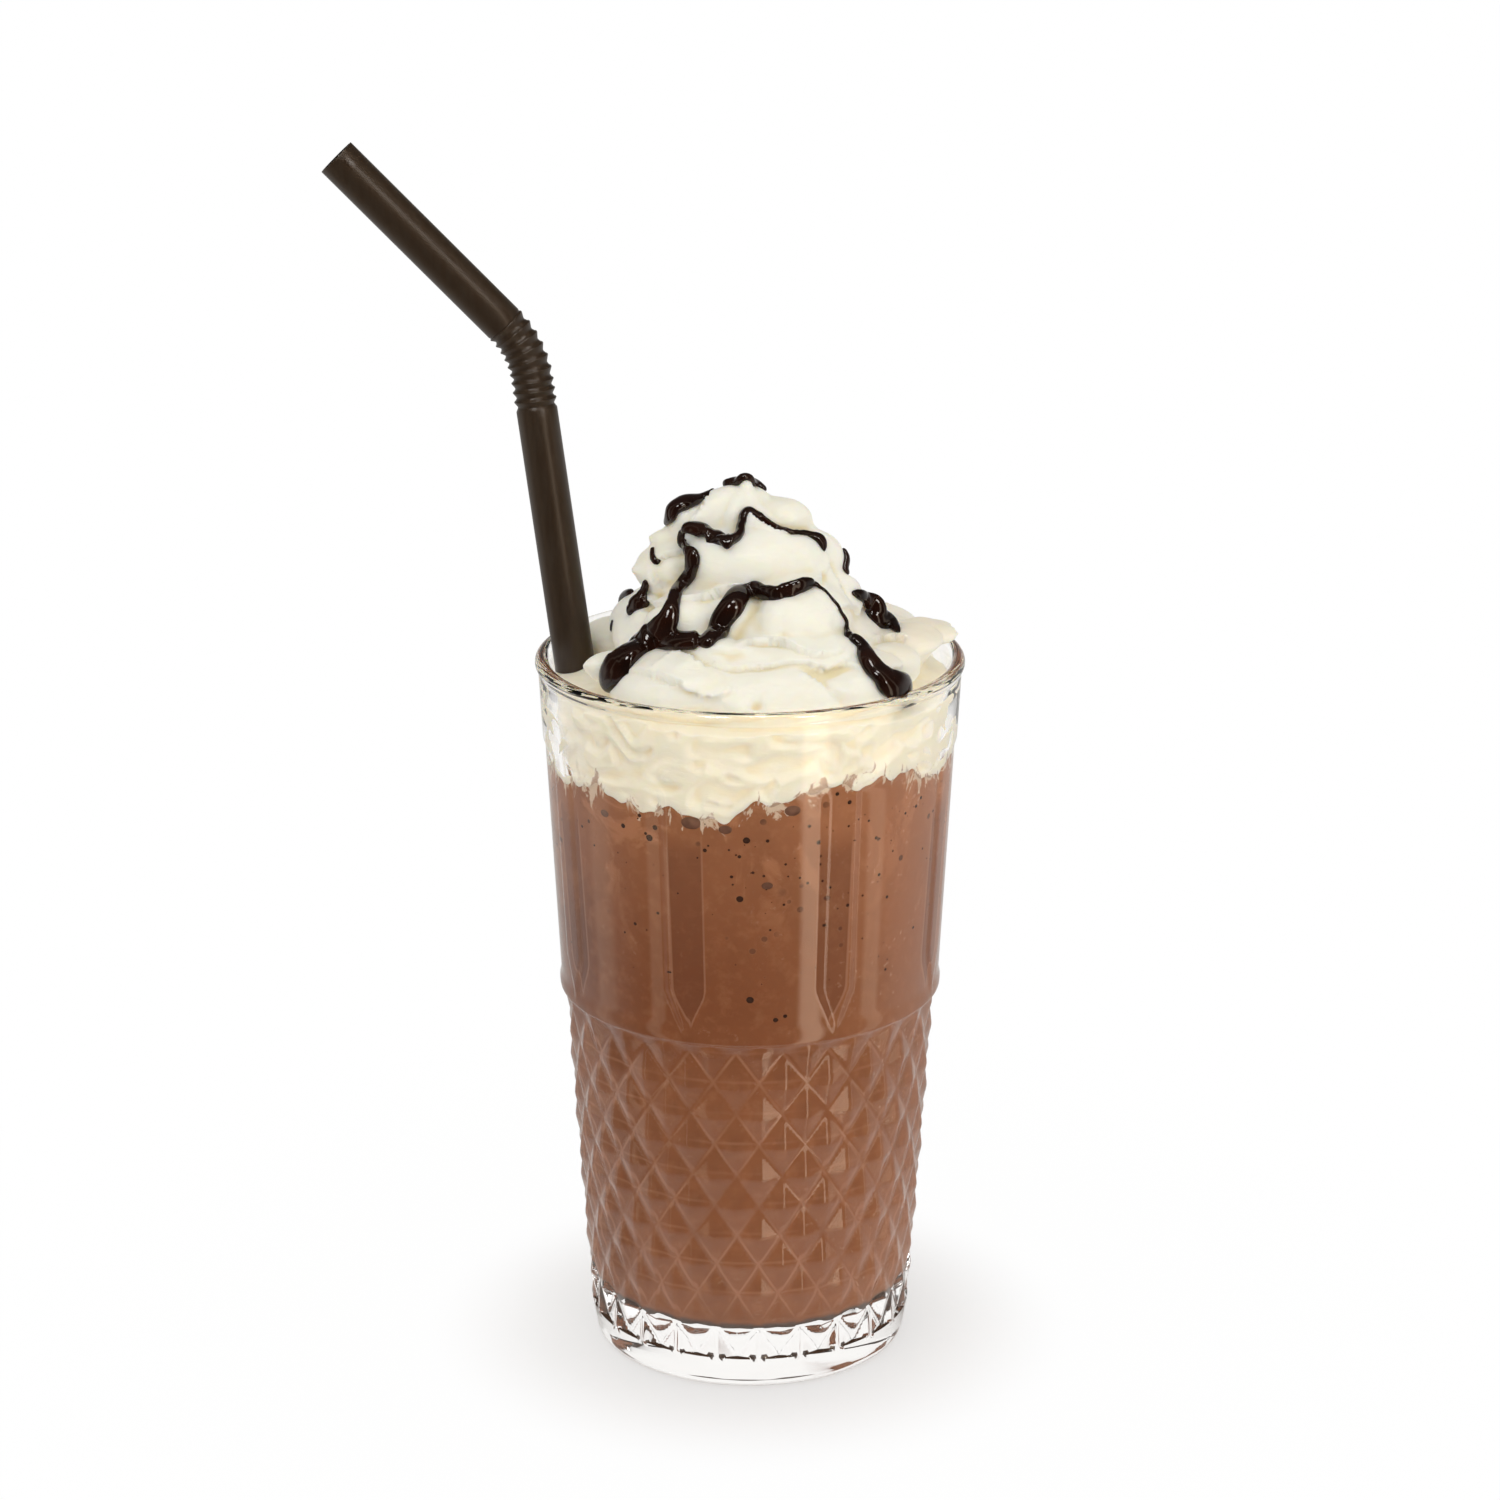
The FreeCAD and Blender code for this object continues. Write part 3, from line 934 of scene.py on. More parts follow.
@dataclass
class Tumbler:
    """Pressed tumbler: foot, raised diamonds, step, panelled collar and rim bead."""

    height: float = 143.8
    rim_radius: float = 42.1
    bead: float = 2.75
    bead_stand_out: float = 0.6
    foot_edge: float = 1.8
    foot_height: float = 7.1
    foot_flare: float = 0.9
    foot_inset: float = 0.2
    band_taper_deg: float = 3.845
    band_bulge: float = 0.2
    collar_taper_deg: float = 3.05
    step: float = 0.9
    step_lead: float = 2.1
    floor: float = 11.5
    wall_at_rim: float = 2.35
    wall_at_floor: float = 4.0
    corner: float = 5.0
    columns: int = 24
    rows: int = 10
    pitch: float = 6.62
    relief: float = 1.1
    start_deg: float = -94.5
    panels: int = 8
    panel_recess: float = 0.4
    panel_low: float = 77.9
    panel_high: float = 127.0
    pillar_width: float = 7.0
    pillar_point: float = 9.0
    pillar_start_deg: float = -64.3
    panel_edge: float = 0.35
    skin: float = 0.8
    soften: float = 0.35
    sharp_deg: float = 50.0
    fineness: int = 8

    def __post_init__(self) -> None:
        """Take the overall sizes from the CAD piece and work out what follows."""
        _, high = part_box("glass")
        self.height = high.z / MM
        self.rim_radius = high.x / MM
        half = self.bead / 2
        self.band_top = self.foot_height + self.rows * self.pitch
        self.step_low = self.band_top + self.step_lead
        self.step_high = self.step_low + self.step
        self.bead_r = self.rim_radius - half
        self.bead_z = self.height - half
        self.collar_top = self.bead_z - half
        self.collar_top_r = self.rim_radius - self.bead_stand_out
        slope = math.tan(math.radians(self.collar_taper_deg))
        self.collar_low_r = self.collar_top_r - (self.collar_top - self.step_high) * slope
        self.band_top_r = self.collar_low_r - self.step - 0.1
        slope = math.tan(math.radians(self.band_taper_deg))
        self.band_low_r = self.band_top_r - (self.band_top - self.foot_height) * slope
        self.foot_top_r = self.band_low_r - self.foot_inset
        self.foot_r = self.foot_top_r - self.foot_flare
        self.wall_top_r = self.collar_top_r - self.wall_at_rim
        self.wall_low_r = self.band_low_r - self.wall_at_floor

    def inner_radius(self, z: np.ndarray | float) -> np.ndarray | float:
        """Return the inner wall's radius at a height, rim bead and floor corner included.

        Args:
            z: Height or heights in millimetres.

        Returns:
            Radius or radii in millimetres.
        """
        z = np.asarray(z, float)
        top = self.floor + self.corner
        t = (z - top) / (self.collar_top - top)
        wall = self.wall_low_r + (self.wall_top_r - self.wall_low_r) * t
        drop = np.clip(top - z, 0.0, self.corner)
        corner = self.wall_low_r - self.corner + np.sqrt(self.corner ** 2 - drop ** 2)
        rise = np.clip(z - self.bead_z, 0.0, self.bead / 2)
        mouth = self.bead_r - np.sqrt((self.bead / 2) ** 2 - rise ** 2)
        return np.where(z < top, corner, np.where(z > self.bead_z, mouth, wall))

    def outline(self) -> Profile:
        """Return the whole outline from the base's centre, over the rim, to the floor's centre."""
        half = self.bead / 2
        path: Profile = [(0.0, 0.0)]
        flat = self.foot_r - self.foot_edge
        path += line_points((0.0, 0.0), (flat, 0.0), 6)
        path += arc_points(flat, self.foot_edge, self.foot_edge, -90, 0, 6)[1:]
        path += line_points(path[-1], (self.foot_top_r, self.foot_height - 0.25), 5)
        path += [(self.band_low_r - 0.1, self.foot_height)]
        low, high = (self.band_low_r, self.foot_height), (self.band_top_r, self.band_top)
        path += line_points(low, high, self.rows * self.fineness)
        under = self.collar_low_r - self.step
        path += line_points(path[-1], (under, self.step_low - 0.35), 4)
        path += [(under + 0.05, self.step_low - 0.1)]
        path += arc_points(under, self.step_high, self.step, -78, 0, 6)
        path += line_points(path[-1], (self.collar_top_r, self.collar_top), 72)
        path += [(self.collar_top_r + 0.06, self.collar_top + 0.25)]
        path += arc_points(self.bead_r, self.bead_z, half, -38, 180, 18)
        path += [(self.wall_top_r + 0.02, self.collar_top + 0.3)]
        turn = self.floor + self.corner
        path += line_points((self.wall_top_r, self.collar_top), (self.wall_low_r, turn), 26)
        path += arc_points(self.wall_low_r - self.corner, turn, self.corner, 0, -90, 7)[1:]
        path += line_points(path[-1], (0.0, self.floor), 6)
        return path

    def diamond_share(self, azimuth: np.ndarray, z: np.ndarray) -> np.ndarray:
        """Return how far each point stands out on its diamond.

        Args:
            azimuth: Azimuths in degrees.
            z: Heights in millimetres.

        Returns:
            0 in a groove's crossing and 1 on a peak.
        """
        u = np.mod(azimuth - self.start_deg, 360.0) / (180.0 / self.columns)
        w = (z - self.foot_height) / self.pitch
        iu, iw = np.floor(u + TINY), np.floor(w + TINY)
        fu, fw = u - iu, w - iw
        rising = np.mod(iu + iw, 2) < 0.5
        return np.clip(np.where(rising, np.abs(fu - fw), np.abs(fu + fw - 1.0)), 0.0, 1.0)

    def press(self, piece: bpy.types.Object) -> None:
        """Press the diamonds and the shallow panels into the turned blank."""
        points = coordinates(piece) / MM
        radius, azimuth = polar(points)
        z = points[:, 2]
        outside = radius > self.inner_radius(z) + self.skin
        push = np.zeros(len(points))
        band = outside & (z > self.foot_height - 0.01) & (z < self.band_top + 0.01)
        t = (z - self.foot_height) / (self.band_top - self.foot_height)
        share = self.diamond_share(azimuth, z)
        push = np.where(band, self.band_bulge * 4 * t * (1 - t) - self.relief * (1 - share), push)
        lead = outside & (z > self.band_top + 0.01) & (z < self.step_low + 0.05)
        edge = self.diamond_share(azimuth, np.full(len(z), self.band_top))
        fade = 1.0 - (z - self.band_top) / (self.step_low - self.band_top)
        push = np.where(lead, -self.relief * (1 - edge) * np.clip(fade, 0, 1) ** 0.6, push)
        step = 360.0 / self.panels
        across = np.mod(azimuth - self.pillar_start_deg + step / 2, step) - step / 2
        across = np.abs(np.radians(across)) * radius
        opened = np.clip((z - self.panel_low + 0.5) / self.pillar_point, 0.0, 1.0)
        beside = ease(-self.panel_edge, self.panel_edge, across - self.pillar_width / 2 * opened)
        tall = ease(self.panel_low - 0.5, self.panel_low + 0.7, z)
        tall *= 1 - ease(self.panel_high - 0.8, self.panel_high + 0.8, z)
        collar = outside & (z > self.step_high) & (z < self.collar_top - 1)
        push = np.where(collar, push - self.panel_recess * beside * tall, push)
        move_out(points, radius, radius + push)
        put_coordinates(piece, points * MM)
        self.crease(piece, band, azimuth, z)

    def crease(
        self, piece: bpy.types.Object, band: np.ndarray, azimuth: np.ndarray, z: np.ndarray
    ) -> None:
        """Split the band's faces along the grooves and soften the folds a little.

        Args:
            piece: The tumbler.
            band: Marks the vertices of the diamond band.
            azimuth: Azimuth of each vertex in degrees.
            z: Height of each vertex in millimetres.
        """
        turn = np.mod(azimuth - self.start_deg, 360.0)
        column = np.rint(turn / (180.0 / self.columns / self.fineness))
        row = np.rint((z - self.foot_height) / self.pitch * self.fineness)
        even = band & (np.mod(column + row, 2) < 0.5)
        pick_vertices(piece, even)
        bpy.ops.mesh.vert_connect()
        put_down()
        inner = band & (z > self.foot_height + 0.4) & (z < self.band_top - 0.4)
        pick_vertices(piece, inner)
        bpy.ops.mesh.vertices_smooth(factor=self.soften, repeat=1)
        put_down()

    def build(self) -> bpy.types.Object:
        """Turn, press and dress the tumbler.

        Returns:
            The finished piece.
        """
        sides = 2 * self.columns * self.fineness
        piece = turned("tumbler", self.outline(), sides, self.start_deg)
        self.press(piece)
        smooth_faces(piece, self.sharp_deg)
        dress(piece, ClearGlass().material())
        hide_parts("glass")
        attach(piece, "root")
        LOG.info("tumbler: %d faces", len(piece.data.polygons))
        return piece


@dataclass
class StrawPath:
    """Where the straw's middle line runs, in millimetres, along its length from the foot."""

    foot: Vector = field(default_factory=lambda: Vector((-16.92, -8.18, 12.44)))
    rim: Vector = field(default_factory=lambda: Vector((-34.92, 2.99, 143.8)))
    lower: float = 181.0
    closed: float = 5.55
    opened: float = 12.0
    upper: float = 45.2
    spout_azimuth_deg: float = 179.3
    spout_rise_deg: float = 45.7

    def __post_init__(self) -> None:
        """Work out the two arms' directions and the bend between them."""
        self.up = (self.rim - self.foot).normalized()
        rise, turn = math.radians(self.spout_rise_deg), math.radians(self.spout_azimuth_deg)
        level = math.cos(rise)
        self.out = Vector((level * math.cos(turn), level * math.sin(turn), math.sin(rise)))
        self.side = (self.out - self.up * self.up.dot(self.out)).normalized()
        self.bend = self.up.angle(self.out)
        self.length = self.lower + self.closed + self.opened + self.upper

    def at(self, along: float) -> tuple[Vector, Vector, Vector]:
        """Return the middle point, the heading and the bend's outward side at a length.

        Args:
            along: Length from the foot in millimetres.

        Returns:
            Point, heading and the side that the straw bends towards.
        """
        straight = self.lower + self.closed
        if along <= straight:
            return self.foot + self.up * along, self.up, self.side
        start = self.foot + self.up * straight
        radius = self.opened / self.bend
        angle = min(along - straight, self.opened) / radius
        point = start + self.up * (radius * math.sin(angle))
        point += self.side * (radius * (1 - math.cos(angle)))
        heading = self.up * math.cos(angle) + self.side * math.sin(angle)
        across = self.side * math.cos(angle) - self.up * math.sin(angle)
        rest = max(0.0, along - straight - self.opened)
        return point + heading * rest, heading, across


@dataclass
class Straw:
    """Bendy straw with a thin wall, folded pleats and two open ends."""

    radius: float = 4.0
    wall: float = 0.3
    crest: float = 0.15
    valley: float = 0.45
    closed_pleats: int = 3
    open_pleats: int = 6
    sides: int = 48
    sharp_deg: float = 40.0
    path: StrawPath = field(default_factory=StrawPath)

    def skin(self) -> Profile:
        """Return the outside's radius along the straw, pleat by pleat."""
        low, high = self.radius - self.valley, self.radius + self.crest
        rows: Profile = [(self.radius - 0.04, 0.0), (self.radius, 0.06)]
        rows += [(self.radius, self.path.lower * k / 40) for k in range(1, 40)]
        rows += [(self.radius, self.path.lower - 0.4)]
        start = self.path.lower
        runs = [(self.closed_pleats, self.path.closed), (self.open_pleats, self.path.opened)]
        for count, length in runs:
            pitch = length / count
            for k in range(count):
                base = start + k * pitch
                fold = [(0.10, low + 0.12), (0.22, low), (0.34, low + 0.05), (0.55, low + 0.3)]
                fold += [(0.74, high - 0.06), (0.82, high), (0.90, high - 0.08), (0.97, low + 0.3)]
                rows += [(r, base + share * pitch) for share, r in fold]
            start += length
        rows += [(self.radius, start + 0.4)]
        arm = self.path.upper - 0.5
        rows += [(self.radius, start + arm * k / 12 + 0.4) for k in range(1, 12)]
        rows += [(self.radius, self.path.length - 0.06), (self.radius - 0.04, self.path.length)]
        return rows

    def build(self) -> bpy.types.Object:
        """Turn the straw as a straight tube and lay it along its path.

        Returns:
            The finished piece.
        """
        outside = self.skin()
        inside = [(r - self.wall, s) for r, s in reversed(outside)]
        outline = outside + inside + [outside[0]]
        piece = turned("straw_tube", outline, self.sides)
        points = coordinates(piece) / MM
        for index, (x, y, s) in enumerate(points):
            centre, heading, across = self.path.at(s)
            beside = heading.cross(across)
            points[index] = centre + across * x + beside * y
        put_coordinates(piece, points * MM)
        smooth_faces(piece, self.sharp_deg)
        dress(piece, StrawFinish().material())
        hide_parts("straw")
        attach(piece, "root")
        LOG.info("straw: %d faces", len(piece.data.polygons))
        return piece


@dataclass
class Milkshake:
    """The drink, which wets the wall and has a ragged frothy top."""

    tumbler: Tumbler
    into_wall: float = 0.12
    level: float = 124.5
    rag: float = 1.35
    drag: float = 14.0
    sides: int = 432
    shore: tuple[tuple[float, float], ...] = (
        (-172, 123.0), (-139, 123.7), (-120, 122.8), (-104, 122.0), (-96, 122.2), (-89, 124.4),
        (-80, 126.4), (-66, 127.2), (-53, 128.0), (-38, 126.4), (-26, 124.2), (-8, 124.8),
        (30, 126.6), (75, 123.2), (120, 125.8), (150, 122.6),
    )

    def edge(self, azimuth: np.ndarray) -> np.ndarray:
        """Return how far the drink's edge rises or drops round the wall.

        Args:
            azimuth: Azimuths in degrees.

        Returns:
            The edge's height over the drink's level, in millimetres.
        """
        a = np.radians(azimuth)
        stops, heights = zip(*self.shore)
        wave = np.interp(azimuth, stops, heights, period=360.0) - self.level
        ragged = 0.6 * np.sin(15 * a + 0.9 * np.sin(4 * a)) + 0.4 * np.sin(29 * a + 2.6)
        ragged += 0.25 * np.sin(57 * a + 1.1)
        return wave + self.rag * ragged

    def build(self) -> bpy.types.Object:
        """Turn the drink's body and drag its edge up and down.

        Returns:
            The finished piece.
        """
        glass = self.tumbler
        grip = self.into_wall
        corner = glass.corner
        low, flat = glass.floor + corner, glass.wall_low_r - corner
        path: Profile = [(0.0, glass.floor - grip)]
        path += line_points(path[0], (flat, glass.floor - grip), 6)
        path += arc_points(flat, low, corner + grip, -90, 0, 8)[1:]
        heights = [low + (self.level - glass.floor - corner) * k / 90 for k in range(1, 91)]
        path += [(float(glass.inner_radius(z)) + grip, z) for z in heights]
        last = path[-1][0]
        path += [(last - 0.5, self.level + 0.25), (last - 1.6, self.level)]
        path += [(last - 4.0, self.level - 2.5)]
        path += line_points(path[-1], (0.0, self.level - 3.0), 8)
        piece = turned("milkshake_fill", path, self.sides)
        points = coordinates(piece) / MM
        radius, azimuth = polar(points)
        share = ease(self.level - self.drag, self.level - 0.5, points[:, 2])
        share *= ease(10.0, 34.0, radius)
        raised = points[:, 2] + self.edge(azimuth) * share
        wall = points[:, 2] > low
        skin = wall & (radius > glass.inner_radius(points[:, 2]) + grip - 0.05)
        shift = np.where(skin, glass.inner_radius(raised) - glass.inner_radius(points[:, 2]), 0.0)
        move_out(points, radius, radius + shift)
        points[:, 2] = raised
        put_coordinates(piece, points * MM)
        self.mark_rise(piece)
        smooth_faces(piece)
        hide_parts("milkshake")
        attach(piece, "root")
        LOG.info("milkshake: %d faces", len(piece.data.polygons))
        return piece

    def rise(self, points: np.ndarray) -> np.ndarray:
        """Return how far points are above the drink's edge, in millimetres."""
        _, azimuth = polar(points)
        return points[:, 2] - self.level - self.edge(azimuth)

    def mark_rise(self, piece: bpy.types.Object) -> None:
        """Store on each vertex how far it is above the drink's edge."""
        mark(piece, "rise", self.rise(coordinates(piece) / MM))


class BubbleFinish(Enum):
    """Painted shade of the air bubbles: dark in the open ones, duller in the ones that still have a
    skin.
    """

    # Both colours are painted shade: the air in a bubble against the wall looks dark only because
    # it lies in shade.
    OPEN = (0.040, 0.015, 0.007)
    DULL = (0.15, 0.072, 0.044)

    def material(self) -> bpy.types.Material:
        """Build the material."""
        shop = Shop(f"bubble_{self.name.lower()}")
        lighter = tuple(1.5 * part for part in self.value)
        tone = shop.ramp(shop.noise(500.0, 2.0), [(0.4, self.value), (0.7, lighter)])
        return shop.close(
            shop.shader({"Base Color": tone, "Roughness": 0.6, "Specular IOR Level": 0.12})
        )


BUBBLES: tuple[tuple[float, float, float], ...] = (
    (-85, 108.6, 1.2), (-93, 105.9, 0.75), (-120, 116.8, 0.8), (-129, 118.1, 0.55),
    (-91, 118.0, 0.75),
    (-103, 115.6, 0.45), (-70, 116.8, 0.55), (-78, 123.8, 1.7), (-107, 121.1, 2.0),
    (-97, 120.1, 1.4),
    (-65, 126.3, 0.45), (-61, 124.2, 0.5), (-85, 117.8, 0.4), (-73, 120.3, 0.4), (-51, 115.6, 0.4),
    (-49, 107.7, 0.4), (-73, 108.6, 0.35), (-66, 107.2, 0.3), (-60, 102.9, 0.4), (-94, 114.9, 0.25),
    (-96, 115.9, 0.25), (-95, 108.8, 0.25), (-86, 110.6, 0.3), (-90, 84.8, 0.8), (-82, 80.4, 0.55),
    (-79, 81.1, 0.45), (-69, 113.9, 0.3), (-69, 112.2, 0.3), (-68, 108.7, 0.3), (-80, 104.5, 0.3),
    (-136, 119.6, 1.2), (-123, 121.0, 0.45), (-118, 119.1, 0.6), (-54, 119.5, 0.3),
    (-44, 111.8, 0.25),
)


@dataclass
class Bubbles:
    """Air bubbles in the drink that sit against the wall."""

    tumbler: Tumbler
    shake: Milkshake
    stray: int = 190
    behind: int = 26
    deepest: float = 34.0
    under_edge: float = 3.5
    busy_azimuth: float = -62.0
    flat_share: float = 0.3
    dull_from: float = 1.15
    dull_height: float = 0.72
    seed: int = 5

    def spots(self) -> list[tuple[float, float, float]]:
        """Return azimuth, height and radius of every bubble."""
        chance = random.Random(self.seed)
        found = list(BUBBLES)
        while len(found) < len(BUBBLES) + self.stray:
            azimuth = chance.uniform(-180.0, 180.0)
            depth = self.deepest * chance.random() ** 1.6
            side = 0.5 + 0.5 * math.cos(math.radians(azimuth - self.busy_azimuth))
            if chance.random() < 0.35 + 0.65 * side:
                radius = 0.12 + 0.3 * chance.random() ** 3
                found.append((azimuth, self.shake.level - self.under_edge - depth, radius))
        for _ in range(self.behind):
            size = 0.4 + 0.7 * chance.random() ** 2
            azimuth = chance.uniform(5.0, 175.0)
            found.append((azimuth, self.shake.level - chance.uniform(5.0, 24.0), size))
        return found

    def ball(self, azimuth: float, height: float, radius: float) -> bpy.types.Object:
        """Make one bubble, pressed flat against the wall.

        Args:
            azimuth: Where it sits, in degrees.
            height: Its height in millimetres.
            radius: Its radius in millimetres.

        Returns:
            The settled ball.
        """
        put_down()
        bpy.ops.mesh.primitive_uv_sphere_add(segments=12, ring_count=7, radius=MM)
        ball = bpy.context.object
        turn = math.radians(azimuth)
        deep = self.flat_share * radius
        reach = self.tumbler.inner_radius(height) + self.shake.into_wall - 0.45 * deep
        spot = Vector((reach * math.cos(turn), reach * math.sin(turn), height)) * MM
        tall = self.dull_height if radius >= self.dull_from else 1.0
        size = Matrix.Diagonal((deep, radius, radius * tall, 1.0))
        ball.matrix_world = Matrix.Translation(spot) @ Matrix.Rotation(turn, 4, "Z") @ size
        return settle(ball)

    def build(self) -> None:
        """Make both kinds of bubble, one piece each."""
        for kind in BubbleFinish:
            dull = kind is BubbleFinish.DULL
            chosen = [spot for spot in self.spots() if (spot[2] >= self.dull_from) == dull]
            piece = joined([self.ball(*spot) for spot in chosen])
            named(piece, f"bubbles_{kind.name.lower()}")
            smooth_faces(piece)
            # Each kind gets its colour of painted shade.
            dress(piece, kind.material())
            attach(piece, "root")
            LOG.info("%s: %d bubbles", piece.name, len(chosen))


@dataclass(frozen=True)
class Dollop:
    """One soft fold of cream: its middle, its half sizes in millimetres and its turns."""

    x: float
    y: float
    z: float
    wide: float
    deep: float
    tall: float
    slant: float = 0.0
    lean: float = 0.0
    lip: float = 0.0

    def build(self) -> bpy.types.Object:
        """Make the fold as a stretched ball that faces away from the axis, with a lip if asked.

        Returns:
            The settled object.
        """
        put_down()
        bpy.ops.mesh.primitive_uv_sphere_add(segments=28, ring_count=16, radius=MM)
        piece = bpy.context.object
        if self.lip:
            ball = coordinates(piece) / MM
            thin = np.sqrt(np.clip(1.0 - np.maximum(ball[:, 0], 0.0) ** 2, 1e-4, 1.0))
            ball[:, 2] *= thin ** self.lip
            put_coordinates(piece, ball * MM)
        aside = math.hypot(self.x, self.y) > 5.0
        turn = math.atan2(self.y, self.x) if aside else -math.pi / 2
        size = Matrix.Diagonal((self.deep, self.wide, self.tall, 1.0))
        tilt = Matrix.Rotation(math.radians(self.slant), 4, "X")
        nod = Matrix.Rotation(math.radians(self.lean), 4, "Y")
        spot = Vector((self.x, self.y, self.z)) * MM
        facing = Matrix.Translation(spot) @ Matrix.Rotation(turn, 4, "Z")
        piece.matrix_world = facing @ nod @ tilt @ size
        return settle(piece)


BROAD_FOLDS: tuple[Dollop, ...] = (
    Dollop(-1, 0, 148.5, 27.0, 27.0, 10.0),
    Dollop(-1, 1, 157.5, 18.5, 16.5, 10.0),
    Dollop(-2, 1, 166.0, 13.0, 11.0, 9.0),
    Dollop(-2.6, -1.0, 172.4, 7.6, 7.0, 5.2, 3),
    Dollop(-9.8, -1.0, 168.6, 7.0, 7.0, 5.4, 26),
    Dollop(5.6, -0.5, 169.6, 8.0, 7.0, 5.0, -26),
    Dollop(1.8, -6.6, 164.6, 14.4, 8.4, 6.4, -5, 12),
    Dollop(-14.2, -3.0, 161.6, 7.0, 8.0, 6.2, 16),
    Dollop(11.6, -1.5, 163.0, 6.4, 6.8, 6.0, -16),
    Dollop(15.0, -6.0, 156.4, 7.0, 7.0, 6.0, -14),
    Dollop(10.0, -13.6, 155.4, 11.0, 8.4, 7.4, -5, 12),
    Dollop(-4.0, -14.2, 154.4, 9.0, 7.0, 6.4, 3, 10),
    Dollop(-12.6, -13.6, 153.8, 8.0, 8.4, 6.4, 6, 8),
    Dollop(0.0, -21.0, 148.8, 16.0, 8.0, 5.0, 0, 12),
    Dollop(14.0, -20.0, 148.6, 12.0, 8.0, 5.0, -6, 10),
    Dollop(-14.5, -24.4, 144.8, 14.0, 9.6, 6.0, 7, 12),
    Dollop(4.5, -27.4, 143.4, 16.0, 9.4, 6.0, -3, 10),
    Dollop(20.0, -23.0, 143.8, 9.4, 8.6, 5.4, -4),
    Dollop(25.0, -12.0, 144.8, 8.0, 8.8, 5.0, -12),
    Dollop(26.6, -1.0, 144.8, 8.2, 9.2, 5.0, -6),
    Dollop(26.0, 8.5, 144.2, 8.2, 8.4, 5.0, 12),
    Dollop(-21.0, 2.0, 147.0, 6.4, 5.0, 5.0, 10),
    Dollop(-15.0, 4.0, 154.6, 6.0, 6.0, 5.6, -12),
)

FRILLS: tuple[Dollop, ...] = (
    Dollop(-18.6, -4.0, 160.8, 3.4, 4.4, 2.0, 14, -14, 1.0),
    Dollop(-16.2, -1.0, 166.2, 4.0, 4.0, 2.2, 26, -12, 1.0),
    Dollop(-13.0, -1.5, 170.6, 4.6, 3.4, 1.8, 32, -14, 1.0),
    Dollop(-1.0, -2.6, 177.0, 1.7, 1.9, 2.4, 0, 0),
    Dollop(-21.6, -9.5, 151.0, 4.0, 2.4, 5.0, 8, -10, 0.6),
    Dollop(-19.8, -4.5, 155.0, 4.4, 3.6, 2.0, 18, -20, 1.0),
    Dollop(-26.6, -17.6, 145.8, 5.2, 5.4, 3.0, 18, -16, 1.0),
    Dollop(-12.6, -27.4, 146.4, 9.6, 7.4, 3.4, 7, -4, 1.0),
    Dollop(4.5, -30.6, 144.0, 12.6, 6.8, 3.2, -5, 4, 1.0),
    Dollop(-7.0, -22.4, 151.4, 8.4, 5.6, 2.6, 6, -6, 1.0),
    Dollop(17.6, -27.2, 144.6, 5.6, 5.4, 3.0, -8, -6, 1.0),
    Dollop(22.6, -20.0, 147.0, 6.4, 6.6, 2.8, -12, -10, 1.0),
    Dollop(24.6, -2.0, 151.6, 1.6, 2.2, 4.6, 10, -14, 0.5),
    Dollop(30.0, -6.0, 147.0, 6.0, 8.0, 3.0, 14, -6, 0.8),
    Dollop(33.0, 4.0, 146.6, 5.8, 7.2, 2.4, -10, -9, 0.9),
    Dollop(27.0, 14.0, 145.6, 7.4, 7.0, 3.0, 12, -8, 0.9),
    Dollop(37.0, -1.5, 147.4, 2.6, 3.6, 1.3, 24, -16, 1.0),
)


@dataclass(frozen=True)
class Crease:
    """A line pressed into the cream, aimed like the sauce, with a step on either side.

    Each spot is an azimuth in degrees and the height on the axis, in millimetres, that
    a ray coming down at AIM_DEG from there points to. The two amounts, in millimetres,
    push the cream out on the left and on the right of the line as it runs.
    """

    spots: tuple[tuple[float, float], ...]
    left: float
    right: float
    width: float = 2.4


